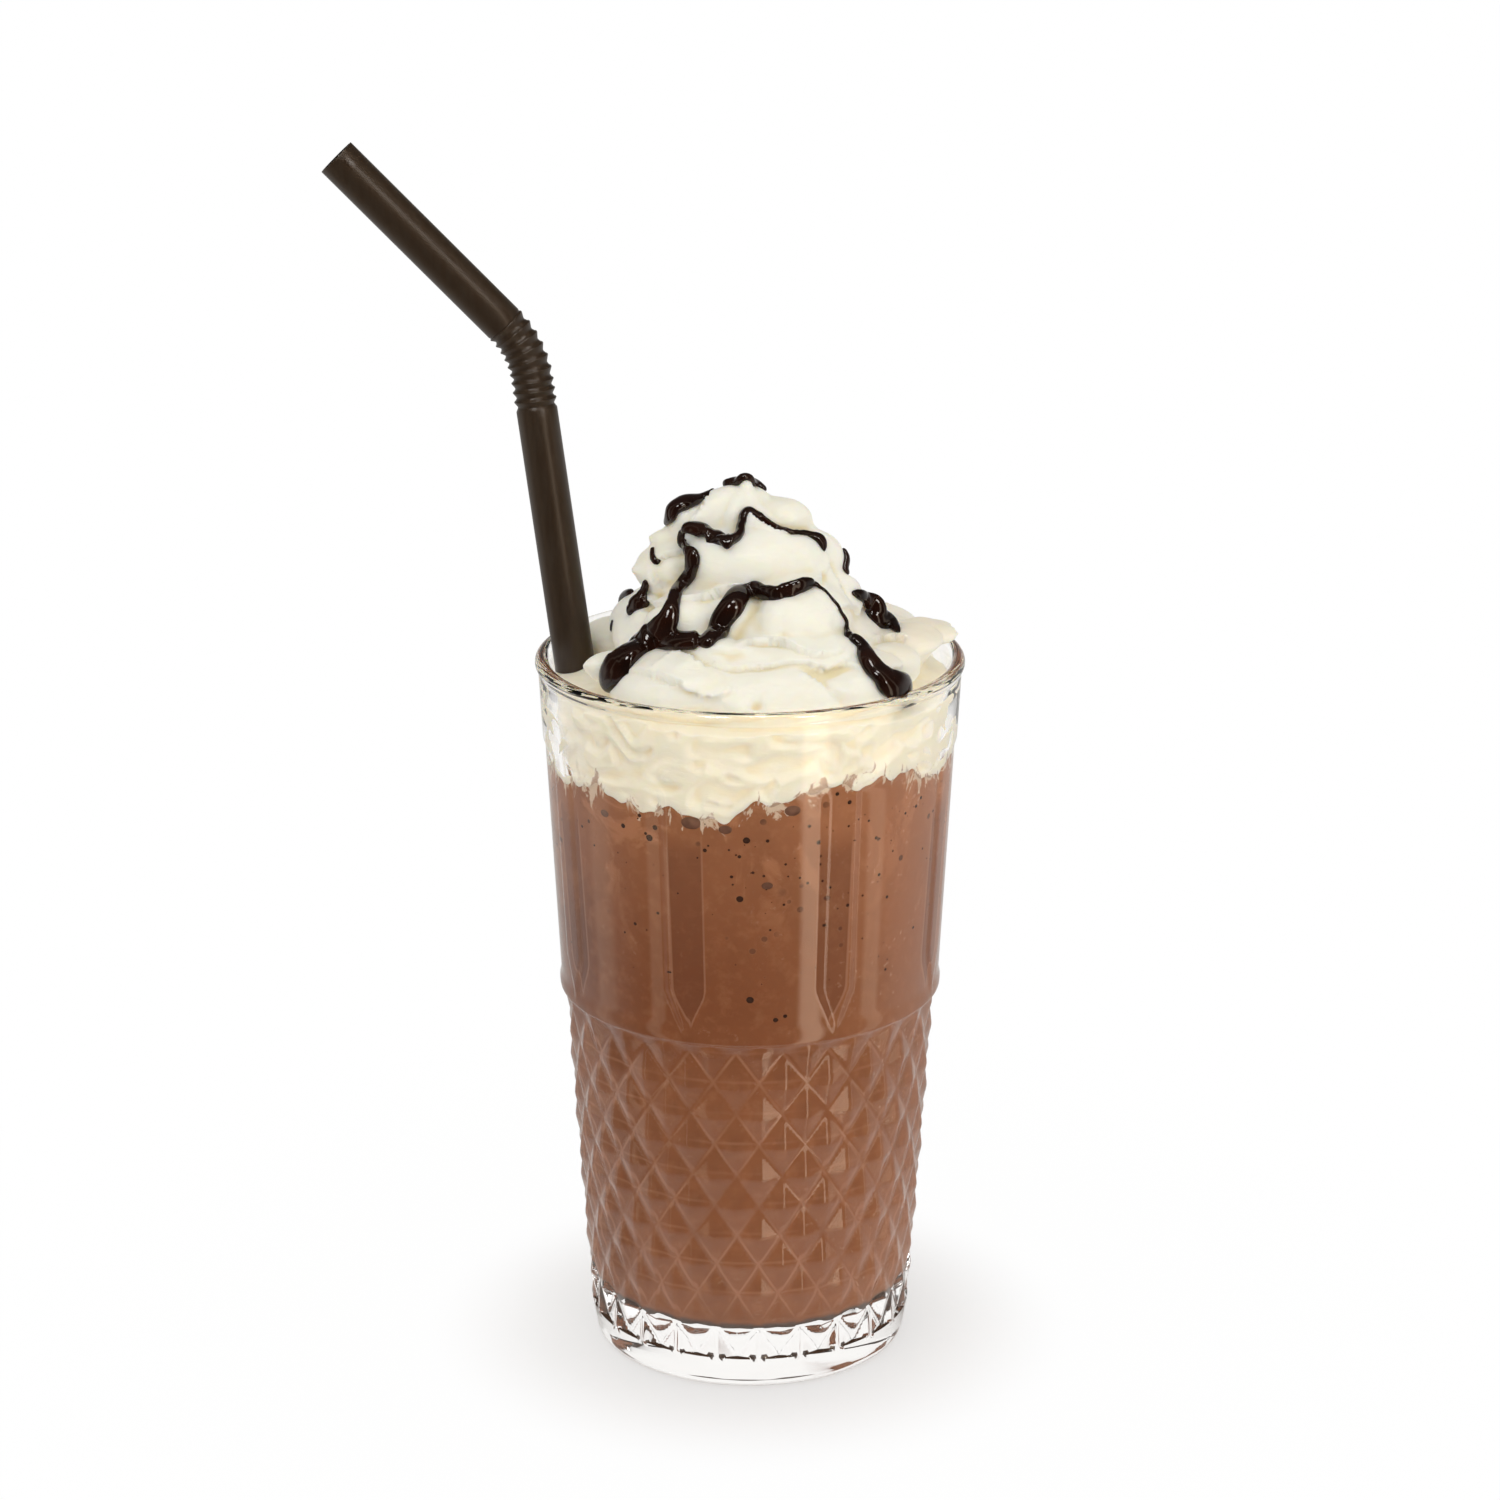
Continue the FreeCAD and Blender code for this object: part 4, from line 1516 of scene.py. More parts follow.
CREASES: tuple[Crease, ...] = (
    Crease((
        (-152, 163.4), (-142, 164.5), (-122, 163.3), (-110, 163.0), (-101, 164.7), (-100, 168.3),
        (-92, 170.7), (-73, 168.9), (-60, 166.5), (-46, 164.9), (-27, 163.2), (-22, 161.0),
        (-25, 157.5),
    ), -1.1, 1.0, 1.8),
    Crease((
        (-152, 163.2), (-152, 160.8), (-135, 158.9), (-138, 156.1), (-142, 151.9), (-130, 147.9),
        (-128, 144.0),
    ), 0.9, -1.0, 1.8),
    Crease((
        (-131, 148.0), (-125, 149.4), (-120, 150.4), (-113, 151.9), (-104, 153.2), (-90, 154.4),
        (-77, 152.3), (-67, 152.5), (-56, 153.0), (-34, 154.3), (-25, 155.6),
    ), 1.2, -1.1, 2.0),
    Crease((
        (-85, 152.8), (-87, 150.0), (-91, 147.1), (-96, 144.5), (-97, 141.2),
    ), -1.3, -1.3, 1.3),
    Crease((
        (-70, 149.8), (-73, 147.2), (-74, 144.6), (-74, 142.4),
    ), -0.5, -0.5, 1.6),
    Crease((
        (-97, 139.3), (-93, 141.1), (-88, 142.3), (-81, 142.1), (-75, 140.8), (-71, 138.4),
        (-66, 136.9), (-61, 136.4), (-56, 137.4),
    ), 1.2, -0.9, 1.8),
    Crease((
        (-108, 136.9), (-103, 135.9), (-98, 134.8), (-90, 135.8), (-81, 136.0), (-72, 135.7),
        (-65, 134.3), (-59, 134.4), (-54, 135.6),
    ), 0.5, -1.0, 1.3),
    Crease((
        (-123, 132.5), (-121, 134.6), (-120, 136.3), (-115, 137.3), (-110, 136.1), (-105, 134.9),
        (-100, 134.2),
    ), -1.2, 0.9, 1.6),
    Crease((
        (-132, 131.2), (-126, 131.7), (-121, 131.1), (-115, 130.7), (-111, 130.0), (-108, 129.4),
        (-103, 128.8), (-99, 129.3), (-96, 131.2),
    ), 1.2, -0.9, 1.6),
    Crease((
        (-89, 128.8), (-88, 128.2), (-86, 128.1),
    ), -1.7, -1.7, 1.6),
    Crease((
        (-73, 134.2), (-70, 132.6), (-67, 130.9), (-65, 128.5), (-62, 126.5),
    ), -0.7, 0.9, 1.6),
    Crease((
        (-70, 134.0), (-65, 133.6), (-60, 133.9), (-56, 134.0), (-53, 132.4),
    ), 0.6, -0.8, 1.4),
    Crease((
        (-138, 175.0), (-129, 172.2), (-128, 169.2), (-125, 166.8),
    ), -1.5, -1.5, 1.5),
    Crease((
        (-47, 175.5), (-54, 172.8), (-57, 170.1), (-52, 167.8), (-45, 166.1),
    ), -0.9, -0.9, 1.4),
    Crease((
        (-177, 173.0), (-163, 170.7), (-150, 167.9), (-150, 165.1),
    ), 0.8, -0.7, 1.8),
    Crease((
        (-156, 154.6), (-154, 156.5), (-151, 158.0), (-149, 159.3),
    ), 0.8, -1.0, 1.2),
    Crease((
        (-157, 152.4), (-155, 151.3), (-152, 150.8), (-146, 151.1),
    ), -0.8, 0.7, 1.3),
    Crease((
        (-168, 146.0), (-162, 146.5), (-134, 146.7), (-130, 144.7),
    ), 0.9, -0.7, 1.4),
    Crease((
        (-141, 141.9), (-138, 139.6), (-140, 137.0), (-144, 134.8),
    ), -1.0, -1.0, 1.3),
    Crease((
        (-24, 157.3), (-24, 154.8), (-29, 152.3), (-33, 149.7), (-32, 147.5),
    ), -0.8, 0.6, 1.6),
    Crease((
        (-46, 146.4), (-33, 146.3), (-27, 145.4), (-22, 143.4),
    ), 0.9, -0.9, 1.3),
    Crease((
        (-33, 137.0), (-24, 137.1), (-16, 135.6), (-19, 133.6),
    ), 0.8, -0.8, 1.5),
    Crease((
        (20, 150.0), (50, 147.0), (80, 151.0), (110, 147.0), (140, 150.0),
    ), 1.1, -0.9, 1.8),
    Crease((
        (30, 139.0), (55, 142.0), (85, 138.0), (115, 141.0), (145, 137.0),
    ), 1.1, -0.9, 1.8),
    Crease((
        (60, 160.0), (90, 162.0), (125, 158.0), (150, 161.0),
    ), 1.0, -0.9, 1.7),
    Crease((
        (35, 132.0), (60, 134.0), (90, 131.0), (120, 134.0), (150, 130.0),
    ), 0.9, -0.8, 1.5),
)
AIM_DEG = 25.0
RAY_START = 0.09
RAY_MISS = 0.004


def dropped(tree: BVHTree, spots: Sequence[tuple[float, ...]]) -> list[tuple[Vector, Vector]]:
    """Drop aimed spots onto a surface.

    Args:
        tree: The surface, in metres.
        spots: Azimuth in degrees and aimed height in millimetres of each.

    Returns:
        The points where the rays land with the surface's outward direction there.
    """
    found = []
    slope = math.tan(math.radians(AIM_DEG))
    for azimuth, height, *_ in spots:
        turn = math.radians(azimuth)
        outward = Vector((math.cos(turn), math.sin(turn), slope))
        goal = Vector((0.0, 0.0, height * MM))
        place, normal = tree.ray_cast(goal + outward * RAY_START, -outward)[:2]
        if place is None:
            place, normal = tree.find_nearest(goal + outward * RAY_MISS)[:2]
        found.append((place, normal))
    return found


def threaded(spots: Sequence[tuple[float, ...]], count: int) -> list[tuple[float, ...]]:
    """Run a smooth curve through spots.

    Args:
        spots: The spots, each with the same number of values.
        count: How many points are wanted.

    Returns:
        Evenly shared points of the curve.
    """
    table = np.asarray(spots, dtype=float)
    steps = np.linspace(0.0, len(table) - 1.0, count)
    found = []
    for step in steps:
        k = min(int(step), len(table) - 2)
        t = step - k
        before, after = max(k - 1, 0), min(k + 2, len(table) - 1)
        a, b, c, d = table[before], table[k], table[k + 1], table[after]
        square, cube = 2 * a - 5 * b + 4 * c - d, 3 * b - a - 3 * c + d
        found.append(tuple(0.5 * (2 * b + (c - a) * t + square * t ** 2 + cube * t ** 3)))
    return found


class Way(Enum):
    """Which way a ripple moves the skin."""

    SWAY = "RGB_TO_XYZ"
    OUT = "NORMAL"


@dataclass(frozen=True)
class Ripple:
    """Small unevenness of the cream: its size in metres and its depth in millimetres."""

    name: str
    size: float
    depth: float
    way: Way

    def press(self, piece: bpy.types.Object) -> None:
        """Press the ripple into a piece."""
        texture = bpy.data.textures.new(self.name, "CLOUDS")
        texture.noise_scale = self.size
        texture.noise_depth = 1
        texture.cloud_type = "COLOR"
        finish_modifier(
            piece, "DISPLACE", texture=texture, strength=self.depth * MM, mid_level=0.5,
            texture_coords="LOCAL", direction=self.way.value,
        )


@dataclass
class WhippedCream:
    """Mound of whipped cream in soft folds, which fills the mouth of the tumbler."""

    tumbler: Tumbler
    shake: Milkshake
    feather: bpy.types.NodeTree
    into_wall: float = 0.08
    pocket: float = 1.1
    low: float = 117.0
    dip: float = 4.5
    voxel: float = 0.6
    free: float = 1000.0
    broad_rounds: int = 9
    frill_rounds: int = 2
    ripples: tuple[Ripple, ...] = (
        Ripple("cream_sway", 0.014, 2.2, Way.SWAY),
        Ripple("cream_curl", 0.005, 0.7, Way.SWAY),
        Ripple("cream_wrinkle", 0.0024, 0.12, Way.OUT),
    )
    seed: int = 11

    def back_folds(self) -> list[Dollop]:
        """Return the folds round the back, in rings that shrink upwards."""
        chance = random.Random(self.seed)
        rings = (
            (143.2, 26.5, 9.6, 8.0, 5.0, 7),
            (149.2, 18.5, 9.6, 8.0, 5.0, 6),
            (156.0, 11.5, 9.0, 7.6, 5.4, 5),
            (163.0, 7.0, 8.0, 7.0, 5.4, 4),
            (169.0, 4.0, 6.0, 5.6, 4.6, 3),
        )
        folds = []
        for level, (height, reach, wide, deep, tall, count) in enumerate(rings):
            for k in range(count):
                azimuth = 22 + 136 * (k + 0.5 * (level % 2)) / (count - 0.5)
                turn = math.radians(azimuth + chance.uniform(-5, 5))
                out = reach * chance.uniform(0.94, 1.05)
                folds.append(
                    Dollop(
                        out * math.cos(turn) - 2.0,
                        out * math.sin(turn),
                        height + chance.uniform(-1.2, 1.2),
                        wide * chance.uniform(0.85, 1.15),
                        deep * chance.uniform(0.9, 1.1),
                        tall * chance.uniform(0.85, 1.15),
                        chance.uniform(-22, 8),
                        chance.uniform(0, 14),
                    )
                )
        return folds

    def plug(self) -> bpy.types.Object:
        """Return the round body that fills the tumbler's mouth."""
        top = self.tumbler.height - self.dip
        path: Profile = [(0.0, self.low), (30.0, self.low), (40.5, self.low + 1.0)]
        path += [(40.8, top - 1.5), (39.2, top), (36.0, top + 0.8)]
        path += [(20.0, top + 4.0), (0.0, top + 4.0)]
        return turned("mouth_plug", path, 96)

    def pockets(self, points: np.ndarray, near: np.ndarray) -> np.ndarray:
        """Return how far the cream stays off the wall in the pockets between its folds.

        Args:
            points: Vertices in millimetres.
            near: Which of them are near the wall.

        Returns:
            The distance for each vertex, in millimetres.
        """
        rise = self.shake.rise(points)
        gap = np.zeros(len(points))
        for k in np.flatnonzero(near & (rise > 0.5)):
            x, y, z = points[k]
            sway = 2.4 * noise.noise(Vector((x, y, z)) / 9.0)
            large = noise.noise(Vector((x / 8.5 + sway * 0.2, y / 8.5, z / 4.2 + sway * 0.4)))
            small = noise.noise(Vector((x / 4.2 + 7.0, y / 4.2, z / 2.4 + sway * 0.6)))
            gap[k] = ease(0.06, 0.40, max(large, 0.75 * small))
        return self.pocket * gap * ease(0.5, 3.0, rise)

    def hold_in(self, piece: bpy.types.Object) -> None:
        """Press the cream against the wall and keep it clear of the rim's bead."""
        glass = self.tumbler
        points = coordinates(piece) / MM
        radius, _ = polar(points)
        z = points[:, 2]
        inside = z <= glass.height
        wall = glass.inner_radius(np.minimum(z, glass.height)) + self.into_wall
        limit = np.where(inside, wall, self.free)
        limit -= self.pockets(points, inside & (radius > limit - 2.5))
        new = np.minimum(radius, limit)
        move_out(points, radius, new)
        half = glass.bead / 2
        reach = np.clip((new - glass.bead_r) / half, -1.0, 1.0)
        crown = glass.bead_z + half * np.sqrt(1 - reach ** 2) + 0.05
        over = (z > glass.height) & (new > glass.bead_r - half)
        points[:, 2] = np.where(over, np.maximum(z, crown), z)
        put_coordinates(piece, points * MM)

    def melt(self, parts: list[bpy.types.Object], rounds: int) -> bpy.types.Object:
        """Join pieces of cream into one skin and soften it.

        Args:
            parts: The pieces, which overlap.
            rounds: How often the skin is softened.

        Returns:
            The one piece left.
        """
        piece = joined(parts)
        finish_modifier(piece, "REMESH", mode="VOXEL", voxel_size=self.voxel * MM)
        finish_modifier(piece, "SMOOTH", factor=0.5, iterations=rounds)
        return piece

    def fold(self, piece: bpy.types.Object) -> None:
        """Press the creases into the skin, each with a step that casts its own shadow."""
        graph = bpy.context.evaluated_depsgraph_get()
        tree = BVHTree.FromObject(piece, graph)
        points = coordinates(piece)
        normals = normals_of(piece)
        push = np.zeros(len(points))
        for line in CREASES:
            path = dropped(tree, threaded(line.spots, 6 * len(line.spots)))
            reach = line.width * 3.2 * MM
            near = np.full(len(points), reach)
            value = np.zeros(len(points))
            last = len(path) - 2
            for k in range(last + 1):
                (a, up), (b, _) = path[k], path[k + 1]
                run = b - a
                if run.length < 1e-7:
                    continue
                start, along = np.array(a), np.array(run)
                share = np.clip((points - start) @ along / run.length_squared, 0.0, 1.0)
                offset = points - start - share[:, None] * along
                far = np.linalg.norm(offset, axis=1)
                left = offset @ np.array(up.cross(run).normalized())
                done = np.clip((k + share + 0.4) / (last + 1.8), 0.0, 1.0)
                fade = np.sin(np.pi * done) ** 0.6
                amount = np.where(left > 0.0, line.left, line.right) * fade
                closer = far < near
                value = np.where(closer, amount * np.exp(-far / (line.width * MM)), value)
                near = np.minimum(near, far)
            push += value
        put_coordinates(piece, points + normals * (push * MM)[:, None])

    def mark_hollows(self, piece: bpy.types.Object) -> None:
        """Store on each vertex how hollow the skin is there, for the painted shade in the hollows.
        """
        mesh = piece.data
        points = coordinates(piece)
        pairs = np.empty(len(mesh.edges) * 2, dtype=np.int64)
        mesh.edges.foreach_get("vertices", pairs)
        one, two = pairs.reshape(-1, 2).T
        size = len(points)
        count = np.bincount(one, minlength=size) + np.bincount(two, minlength=size)

        def spread(values: np.ndarray) -> np.ndarray:
            """Average each vertex's value over its neighbours."""
            total = np.bincount(one, values[two], size) + np.bincount(two, values[one], size)
            return total / np.maximum(count, 1)

        middle = points
        for _ in range(4):
            middle = np.stack([spread(middle[:, axis]) for axis in range(3)], axis=1)
        hollow = np.einsum("ij,ij->i", middle - points, normals_of(piece)) / MM
        for _ in range(3):
            hollow = spread(hollow)
        mark(piece, "hollow", hollow)

    def build(self) -> bpy.types.Object:
        """Melt the folds into one body, crease it and press it into the mouth.

        Returns:
            The finished piece.
        """
        folds = list(BROAD_FOLDS) + self.back_folds()
        body = self.melt([fold.build() for fold in folds], self.broad_rounds)
        parts = [body, self.plug()] + [frill.build() for frill in FRILLS]
        piece = named(self.melt(parts, self.frill_rounds), "cream_mound")
        self.fold(piece)
        for ripple in self.ripples:
            ripple.press(piece)
        self.hold_in(piece)
        self.mark_hollows(piece)
        self.shake.mark_rise(piece)
        smooth_faces(piece)
        dress(piece, CreamFinish().material(self.feather))
        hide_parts("whipped_cream")
        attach(piece, "root")
        LOG.info("cream: %d faces", len(piece.data.polygons))
        return piece


@dataclass(frozen=True)
class Strand:
    """One run of sauce over the cream: azimuth, aimed height and half width of its spots."""

    spots: tuple[tuple[float, float, float], ...]


STRANDS: tuple[Strand, ...] = (
    Strand((
        (178, 174.8, 1.1), (166, 175.9, 1.25), (-124, 178.0, 1.25), (69, 175.8, 1.1),
        (8, 174.7, 0.7),
    )),
    Strand((
        (-172, 173.5, 0.5), (177, 170.0, 1.2), (-166, 167.6, 1.9), (-166, 165.1, 1.3),
        (-177, 162.3, 0.6),
    )),
    Strand((
        (-165, 157.2, 0.4), (-158, 155.6, 0.55), (-155, 154.8, 0.6),
    )),
    Strand((
        (-159, 150.5, 0.6), (-164, 145.7, 0.9), (-168, 142.2, 0.5),
    )),
    Strand((
        (-159, 147.2, 1.0), (-165, 144.2, 1.7), (-168, 141.8, 1.1),
    )),
    Strand((
        (-178, 138.1, 0.4), (-175, 135.9, 0.4),
    )),
    Strand((
        (-153, 163.4, 0.9), (-141, 164.4, 1.45), (-123, 163.4, 1.6), (-109, 162.8, 1.5),
        (-100, 164.6, 1.25), (-99, 168.2, 1.05), (-92, 170.8, 0.9), (-70, 169.1, 0.8),
        (-56, 166.6, 0.7), (-48, 164.9, 0.5), (-31, 163.3, 0.6), (-24, 161.1, 1.0),
        (-26, 158.4, 0.35),
    )),
    Strand((
        (-153, 163.4, 0.9), (-154, 160.8, 0.95), (-132, 158.8, 1.35), (-134, 156.0, 1.15),
        (-139, 151.8, 1.1), (-128, 147.8, 1.15), (-127, 144.0, 1.9), (-131, 140.3, 2.8),
    )),
    Strand((
        (-131, 140.3, 2.8), (-139, 136.8, 3.1), (-137, 133.8, 3.0), (-138, 130.6, 2.6),
        (-143, 127.1, 1.5),
    )),
    Strand((
        (-131, 140.3, 2.2), (-119, 139.8, 1.9), (-111, 140.6, 1.9),
    )),
    Strand((
        (-51, 152.9, 0.7), (-61, 152.9, 1.35), (-70, 152.0, 1.7), (-77, 152.1, 1.6),
        (-88, 154.2, 1.2),
        (-96, 152.3, 1.75), (-100, 149.0, 2.0), (-105, 145.9, 1.8), (-106, 142.2, 1.7),
        (-108, 139.2, 1.4),
    )),
    Strand((
        (-51, 152.9, 0.5), (-49, 149.5, 0.35), (-46, 145.4, 0.4), (-43, 142.4, 0.5),
        (-49, 139.5, 0.9),
    )),
    Strand((
        (-49, 139.5, 1.1), (-46, 136.7, 1.3), (-49, 133.4, 1.6), (-48, 129.5, 2.2),
        (-45, 127.1, 2.5),
        (-28, 126.0, 1.2),
    )),
    Strand((
        (-5, 156.7, 0.5), (-5, 154.6, 1.0), (-14, 151.7, 0.8),
    )),
    Strand((
        (-27, 148.2, 0.8), (-8, 143.3, 1.5), (-9, 140.3, 1.9), (-6, 137.5, 1.3), (-16, 136.0, 0.5),
    )),
    Strand((
        (150, 163.0, 0.9), (128, 158.0, 1.3), (104, 160.0, 1.2), (80, 154.0, 1.5), (58, 150.0, 1.0),
        (40, 152.0, 0.6),
    )),
    Strand((
        (124, 150.0, 0.8), (104, 145.0, 1.5), (84, 147.0, 1.2), (64, 140.0, 1.7), (50, 134.0, 1.5),
        (42, 131.0, 0.8),
    )),
    Strand((
        (166, 143.0, 0.7), (152, 137.0, 1.3), (142, 131.0, 1.6),
    )),
)


@dataclass
class Sauce:
    """Chocolate sauce that has run over the cream and set in glossy ropes and pools."""

    voxel: float = 0.26
    thick: float = 0.62
    lift: float = 0.26
    swell: float = 1.25
    taper: float = 4.0
    rounds: int = 4
    sides: int = 16

    def rope(self, strand: Strand, tree: BVHTree) -> bpy.types.Object:
        """Lay one run of sauce on the cream.

        Args:
            strand: Where the run goes and how wide it is.
            tree: The cream's skin.

        Returns:
            The closed rope.
        """
        landed = dropped(tree, strand.spots)
        knots = [(*place, spot[2]) for (place, _), spot in zip(landed, strand.spots)]
        count = 10 * len(knots)
        smooth = threaded(knots, count)
        path = [tree.find_nearest(Vector(spot[:3]))[:2] for spot in smooth]
        centre = np.array([place for place, _ in path]) / MM
        for _ in range(2):
            centre[1:-1] = (centre[:-2] + 2 * centre[1:-1] + centre[2:]) / 4
        out = np.array([normal for _, normal in path])
        for _ in range(4):
            out[1:-1] = (out[:-2] + out[1:-1] + out[2:]) / 3
        out /= np.linalg.norm(out, axis=1)[:, None]
        along = np.gradient(centre, axis=0)
        side = np.cross(out, along)
        side /= np.maximum(np.linalg.norm(side, axis=1), 1e-6)[:, None]
        half = self.swell * np.array([spot[3] for spot in smooth])
        ends = np.minimum(np.arange(count), np.arange(count)[::-1]) + 0.6
        half = half * np.sqrt(np.clip(ends / self.taper, 0.05, 1.0))
        outline: Profile = [(0.0, 0.0)] + [(1.0, float(k)) for k in range(count)]
        outline.append((0.0, count - 1.0))
        piece = turned("sauce_rope", outline, self.sides)
        points = coordinates(piece) / MM
        ring = np.clip(np.rint(points[:, 2]).astype(int), 0, count - 1)
        wide = (points[:, 0] * half[ring])[:, None] * side[ring]
        tall = ((points[:, 1] * self.thick + self.lift) * half[ring])[:, None] * out[ring]
        put_coordinates(piece, (centre[ring] + wide + tall) * MM)
        return piece

    def build(self, cream: bpy.types.Object) -> bpy.types.Object:
        """Lay every run of sauce and melt them together.

        Args:
            cream: The finished mound.

        Returns:
            The finished piece.
        """
        tree = BVHTree.FromObject(cream, bpy.context.evaluated_depsgraph_get())
        ropes = [self.rope(strand, tree) for strand in STRANDS]
        piece = named(joined(ropes), "sauce_ropes")
        finish_modifier(piece, "REMESH", mode="VOXEL", voxel_size=self.voxel * MM)
        finish_modifier(piece, "SMOOTH", factor=0.5, iterations=self.rounds)
        smooth_faces(piece)
        dress(piece, SauceFinish().material())
        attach(piece, "root")
        LOG.info("sauce: %d faces", len(piece.data.polygons))
        return piece


@dataclass(frozen=True)
class Strip:
    """A tall bright window of the room, seen only in reflections."""

    azimuth: float
    half_deg: float
    strength: float


@dataclass(frozen=True)
class Spark:
    """A small very bright lamp of the room, seen only in reflections."""

    azimuth: float
    rise: float
    half_deg: float
    strength: float


def toward(azimuth: float, rise: float) -> Vector:
    """Return a direction from the drink to a place in the room.

    Args:
        azimuth: Degrees to the right of the front.
        rise: Elevation in degrees.

    Returns:
        The direction, one long.
    """
    a, e = math.radians(azimuth), math.radians(rise)
    return Vector((math.sin(a) * math.cos(e), -math.cos(a) * math.cos(e), math.sin(e)))


@dataclass
class Studio:
    """Camera, lights, white surroundings and the table."""

    sparks: tuple[Spark, ...] = (Spark(-24, 52, 8, 26), Spark(33, 38, 7, 22), Spark(10, 74, 7, 20))
    strips: tuple[Strip, ...] = (
        Strip(37, 6, 3.1), Strip(-58, 4, 0.9), Strip(-97, 7, 0.5), Strip(78, 5, 1.1),
    )
    walls: Colour = (1.0, 0.98, 0.95)
    window: Colour = (1.0, 0.80, 0.60)
    daylight: Colour = (1.0, 0.985, 0.965)
    spark_core: float = 0.6
    strip_core: float = 0.7
    strip_fade: float = 1.6
    middle: float = 0.11
    table_drop: float = 0.0001
    table_radius: float = 4.0
    lens: float = 97.27
    eye: tuple[float, float, float] = (0.0, -0.76179, 0.36784)
    aim: tuple[float, float, float] = (0.0, 0.0, 0.12355)

    def camera(self) -> None:
        """Set up the camera."""
        data = bpy.data.cameras.new("camera")
        data.lens = self.lens
        data.sensor_width = 36.0
        data.clip_start = 0.01
        data.clip_end = 20.0
        eye = bpy.data.objects.new("camera", data)
        eye.location = self.eye
        sight = Vector(self.aim) - Vector(self.eye)
        eye.rotation_euler = sight.to_track_quat("-Z", "Y").to_euler()
        bpy.context.scene.collection.objects.link(eye)
        bpy.context.scene.camera = eye

    def lamp(
        self, name: str, azimuth: float, rise: float, far: float, size: tuple[float, float],
        power: float,
    ) -> None:
        """Add a soft box that faces the drink.

        Args:
            name: The lamp's name.
            azimuth: Where it stands, in degrees to the right of the front.
            rise: Its elevation in degrees.
            far: Its distance in metres.
            size: Its width and height in metres.
            power: Its power in watts.
        """
        data = bpy.data.lights.new(name, "AREA")
        data.shape = "RECTANGLE"
        data.size, data.size_y = size
        data.energy = power
        lamp = bpy.data.objects.new(name, data)
        lamp.visible_glossy = False
        spot = toward(azimuth, rise) * far
        lamp.location = spot + Vector((0.0, 0.0, self.middle))
        lamp.rotation_euler = (-spot).to_track_quat("-Z", "Y").to_euler()
        bpy.context.scene.collection.objects.link(lamp)

    def mirrored(self, world: Wiring, place: bpy.types.NodeSocket) -> bpy.types.Node:
        """Light the room that only reflections see: dim walls, windows and small lamps.

        Args:
            world: The world's wiring.
            place: The direction that is looked up.

        Returns:
            The shader that adds them together.
        """
        split = world.add("SeparateXYZ")
        world.link(place, split.inputs[0])
        round_way = world.sum("ARCTAN2", split.outputs["X"], world.times(split.outputs["Y"], -1.0))
        behind = world.band(world.sum("ABSOLUTE", round_way), 1.0, 1.9, 0.06, 0.65)
        mirror = world.times(behind, world.band(split.outputs["Z"], 0.0, 0.4, 1.0, 0.12))
        overhead = world.band(split.outputs["Z"], 0.6, 0.98, 0.0, 0.12)
        mirror = world.sum("MAXIMUM", mirror, overhead)
        for spark in self.sparks:
            aimed = world.add("VectorMath", operation="DOT_PRODUCT")
            world.link(place, aimed.inputs[0])
            aimed.inputs[1].default_value = toward(spark.azimuth, spark.rise)
            outer = math.cos(math.radians(spark.half_deg))
            inner = math.cos(math.radians(spark.half_deg * self.spark_core))
            glint = world.band(aimed.outputs["Value"], outer, inner, 0.0, spark.strength)
            mirror = world.sum("MAXIMUM", mirror, glint)
        windows: object = 0.0
        for strip in self.strips:
            offset = world.sum("SUBTRACT", round_way, math.radians(strip.azimuth))
            edge = math.radians(strip.half_deg)
            shine = world.band(
                world.sum("ABSOLUTE", offset), edge * self.strip_fade, edge * self.strip_core,
                0.0, strip.strength,
            )
            windows = world.sum("MAXIMUM", windows, shine)
        both = world.add("AddShader")
        parts = ((self.walls, mirror), (self.window, windows))
        for socket, (colour, strength) in zip(both.inputs, parts):
            part = world.add("Background")
            part.inputs["Color"].default_value = (*colour, 1.0)
            world.link(strength, part.inputs["Strength"])
            world.link(part.outputs[0], socket)
        return both

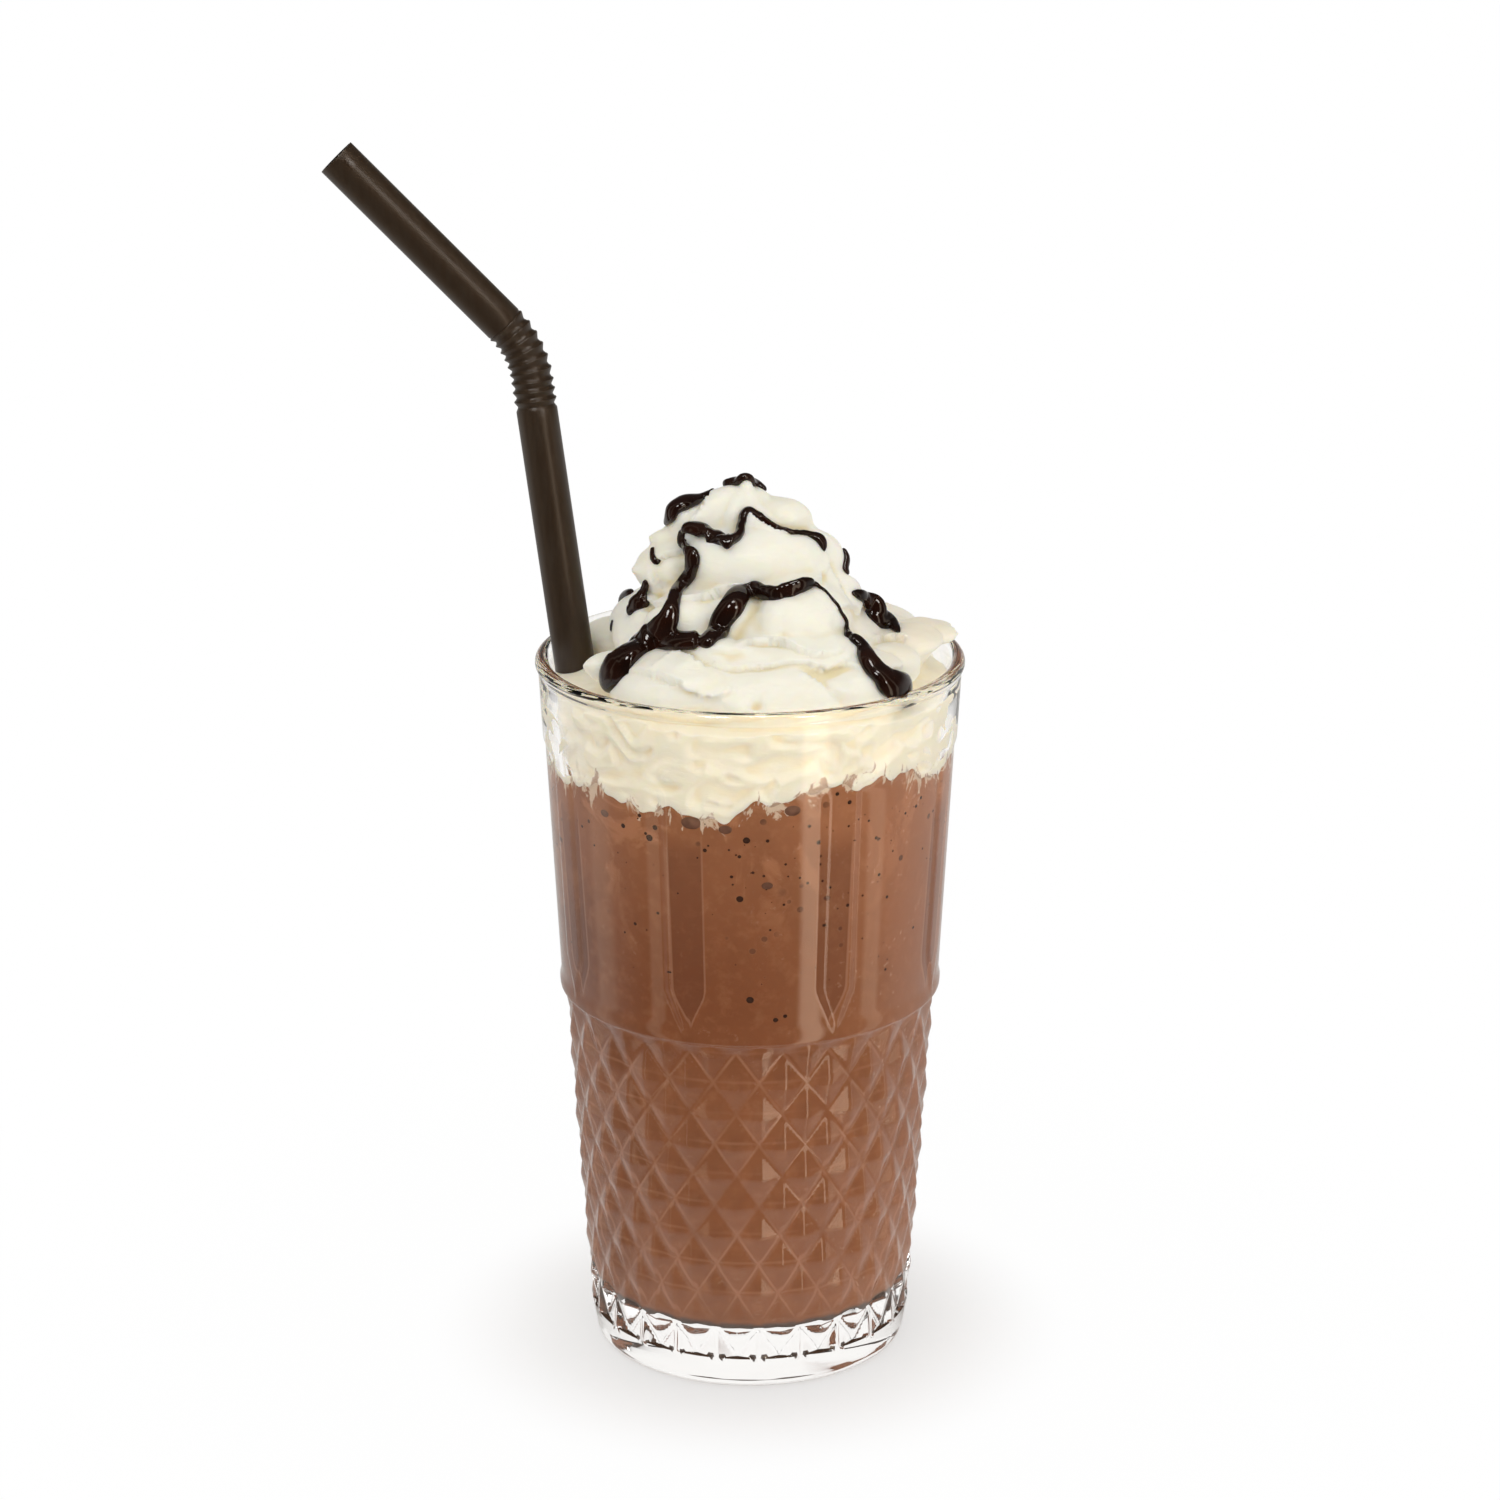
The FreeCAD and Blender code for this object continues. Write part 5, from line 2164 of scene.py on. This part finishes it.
    def surroundings(self) -> None:
        """Set the world: white where it is seen, softer where it lights."""
        room = bpy.data.worlds.new("white_room")
        bpy.context.scene.world = room
        room.use_nodes = True
        room.node_tree.nodes.clear()
        world = Wiring(room.node_tree)
        seen, light = world.add("Background"), world.add("Background")
        seen.inputs["Color"].default_value = (1.0, 1.0, 1.0, 1.0)
        light.inputs["Color"].default_value = (*self.daylight, 1.0)
        place = world.add("TexCoord").outputs["Generated"]
        split = world.add("SeparateXYZ")
        world.link(place, split.inputs[0])
        world.link(
            world.band(split.outputs["Y"], -0.95, 0.1, 0.72, 0.78), light.inputs["Strength"]
        )
        rays = world.add("LightPath").outputs
        lit, shown = world.add("MixShader"), world.add("MixShader")
        world.link(rays["Is Glossy Ray"], lit.inputs[0])
        world.link(light.outputs[0], lit.inputs[1])
        world.link(self.mirrored(world, place).outputs[0], lit.inputs[2])
        straight = world.sum("MAXIMUM", rays["Is Camera Ray"], rays["Is Transmission Ray"])
        world.link(straight, shown.inputs[0])
        world.link(lit.outputs[0], shown.inputs[1])
        world.link(seen.outputs[0], shown.inputs[2])
        world.link(shown.outputs[0], world.add("OutputWorld").inputs[0])

    def table(self) -> None:
        """Lay the table under the drink."""
        put_down()
        bpy.ops.mesh.primitive_circle_add(
            vertices=96, radius=self.table_radius, fill_type="NGON",
            location=(0.0, 0.0, -self.table_drop),
        )
        table = named(settle(bpy.context.object), "table")
        dress(table, FloorFinish().material())

    def build(self) -> None:
        """Set up everything round the drink."""
        self.camera()
        self.surroundings()
        self.table()
        self.lamp("key_box", 37, 10, 1.2, (0.22, 0.8), 2.6)
        self.lamp("top_box", -30, 55, 1.3, (0.9, 0.7), 2.3)
        bpy.context.scene.view_settings.view_transform = "Standard"


def main() -> None:
    """Build the drink piece by piece and set up the studio."""
    tumbler = Tumbler()
    feather = feather_group()
    Studio().build()
    tumbler.build()
    milkshake = Milkshake(tumbler)
    dress(milkshake.build(), ShakeFinish().material(dot_group(), feather))
    Bubbles(tumbler, milkshake).build()
    cream = WhippedCream(tumbler, milkshake, feather).build()
    Sauce().build(cream)
    Straw().build()


if __name__ == "__main__":
    main()
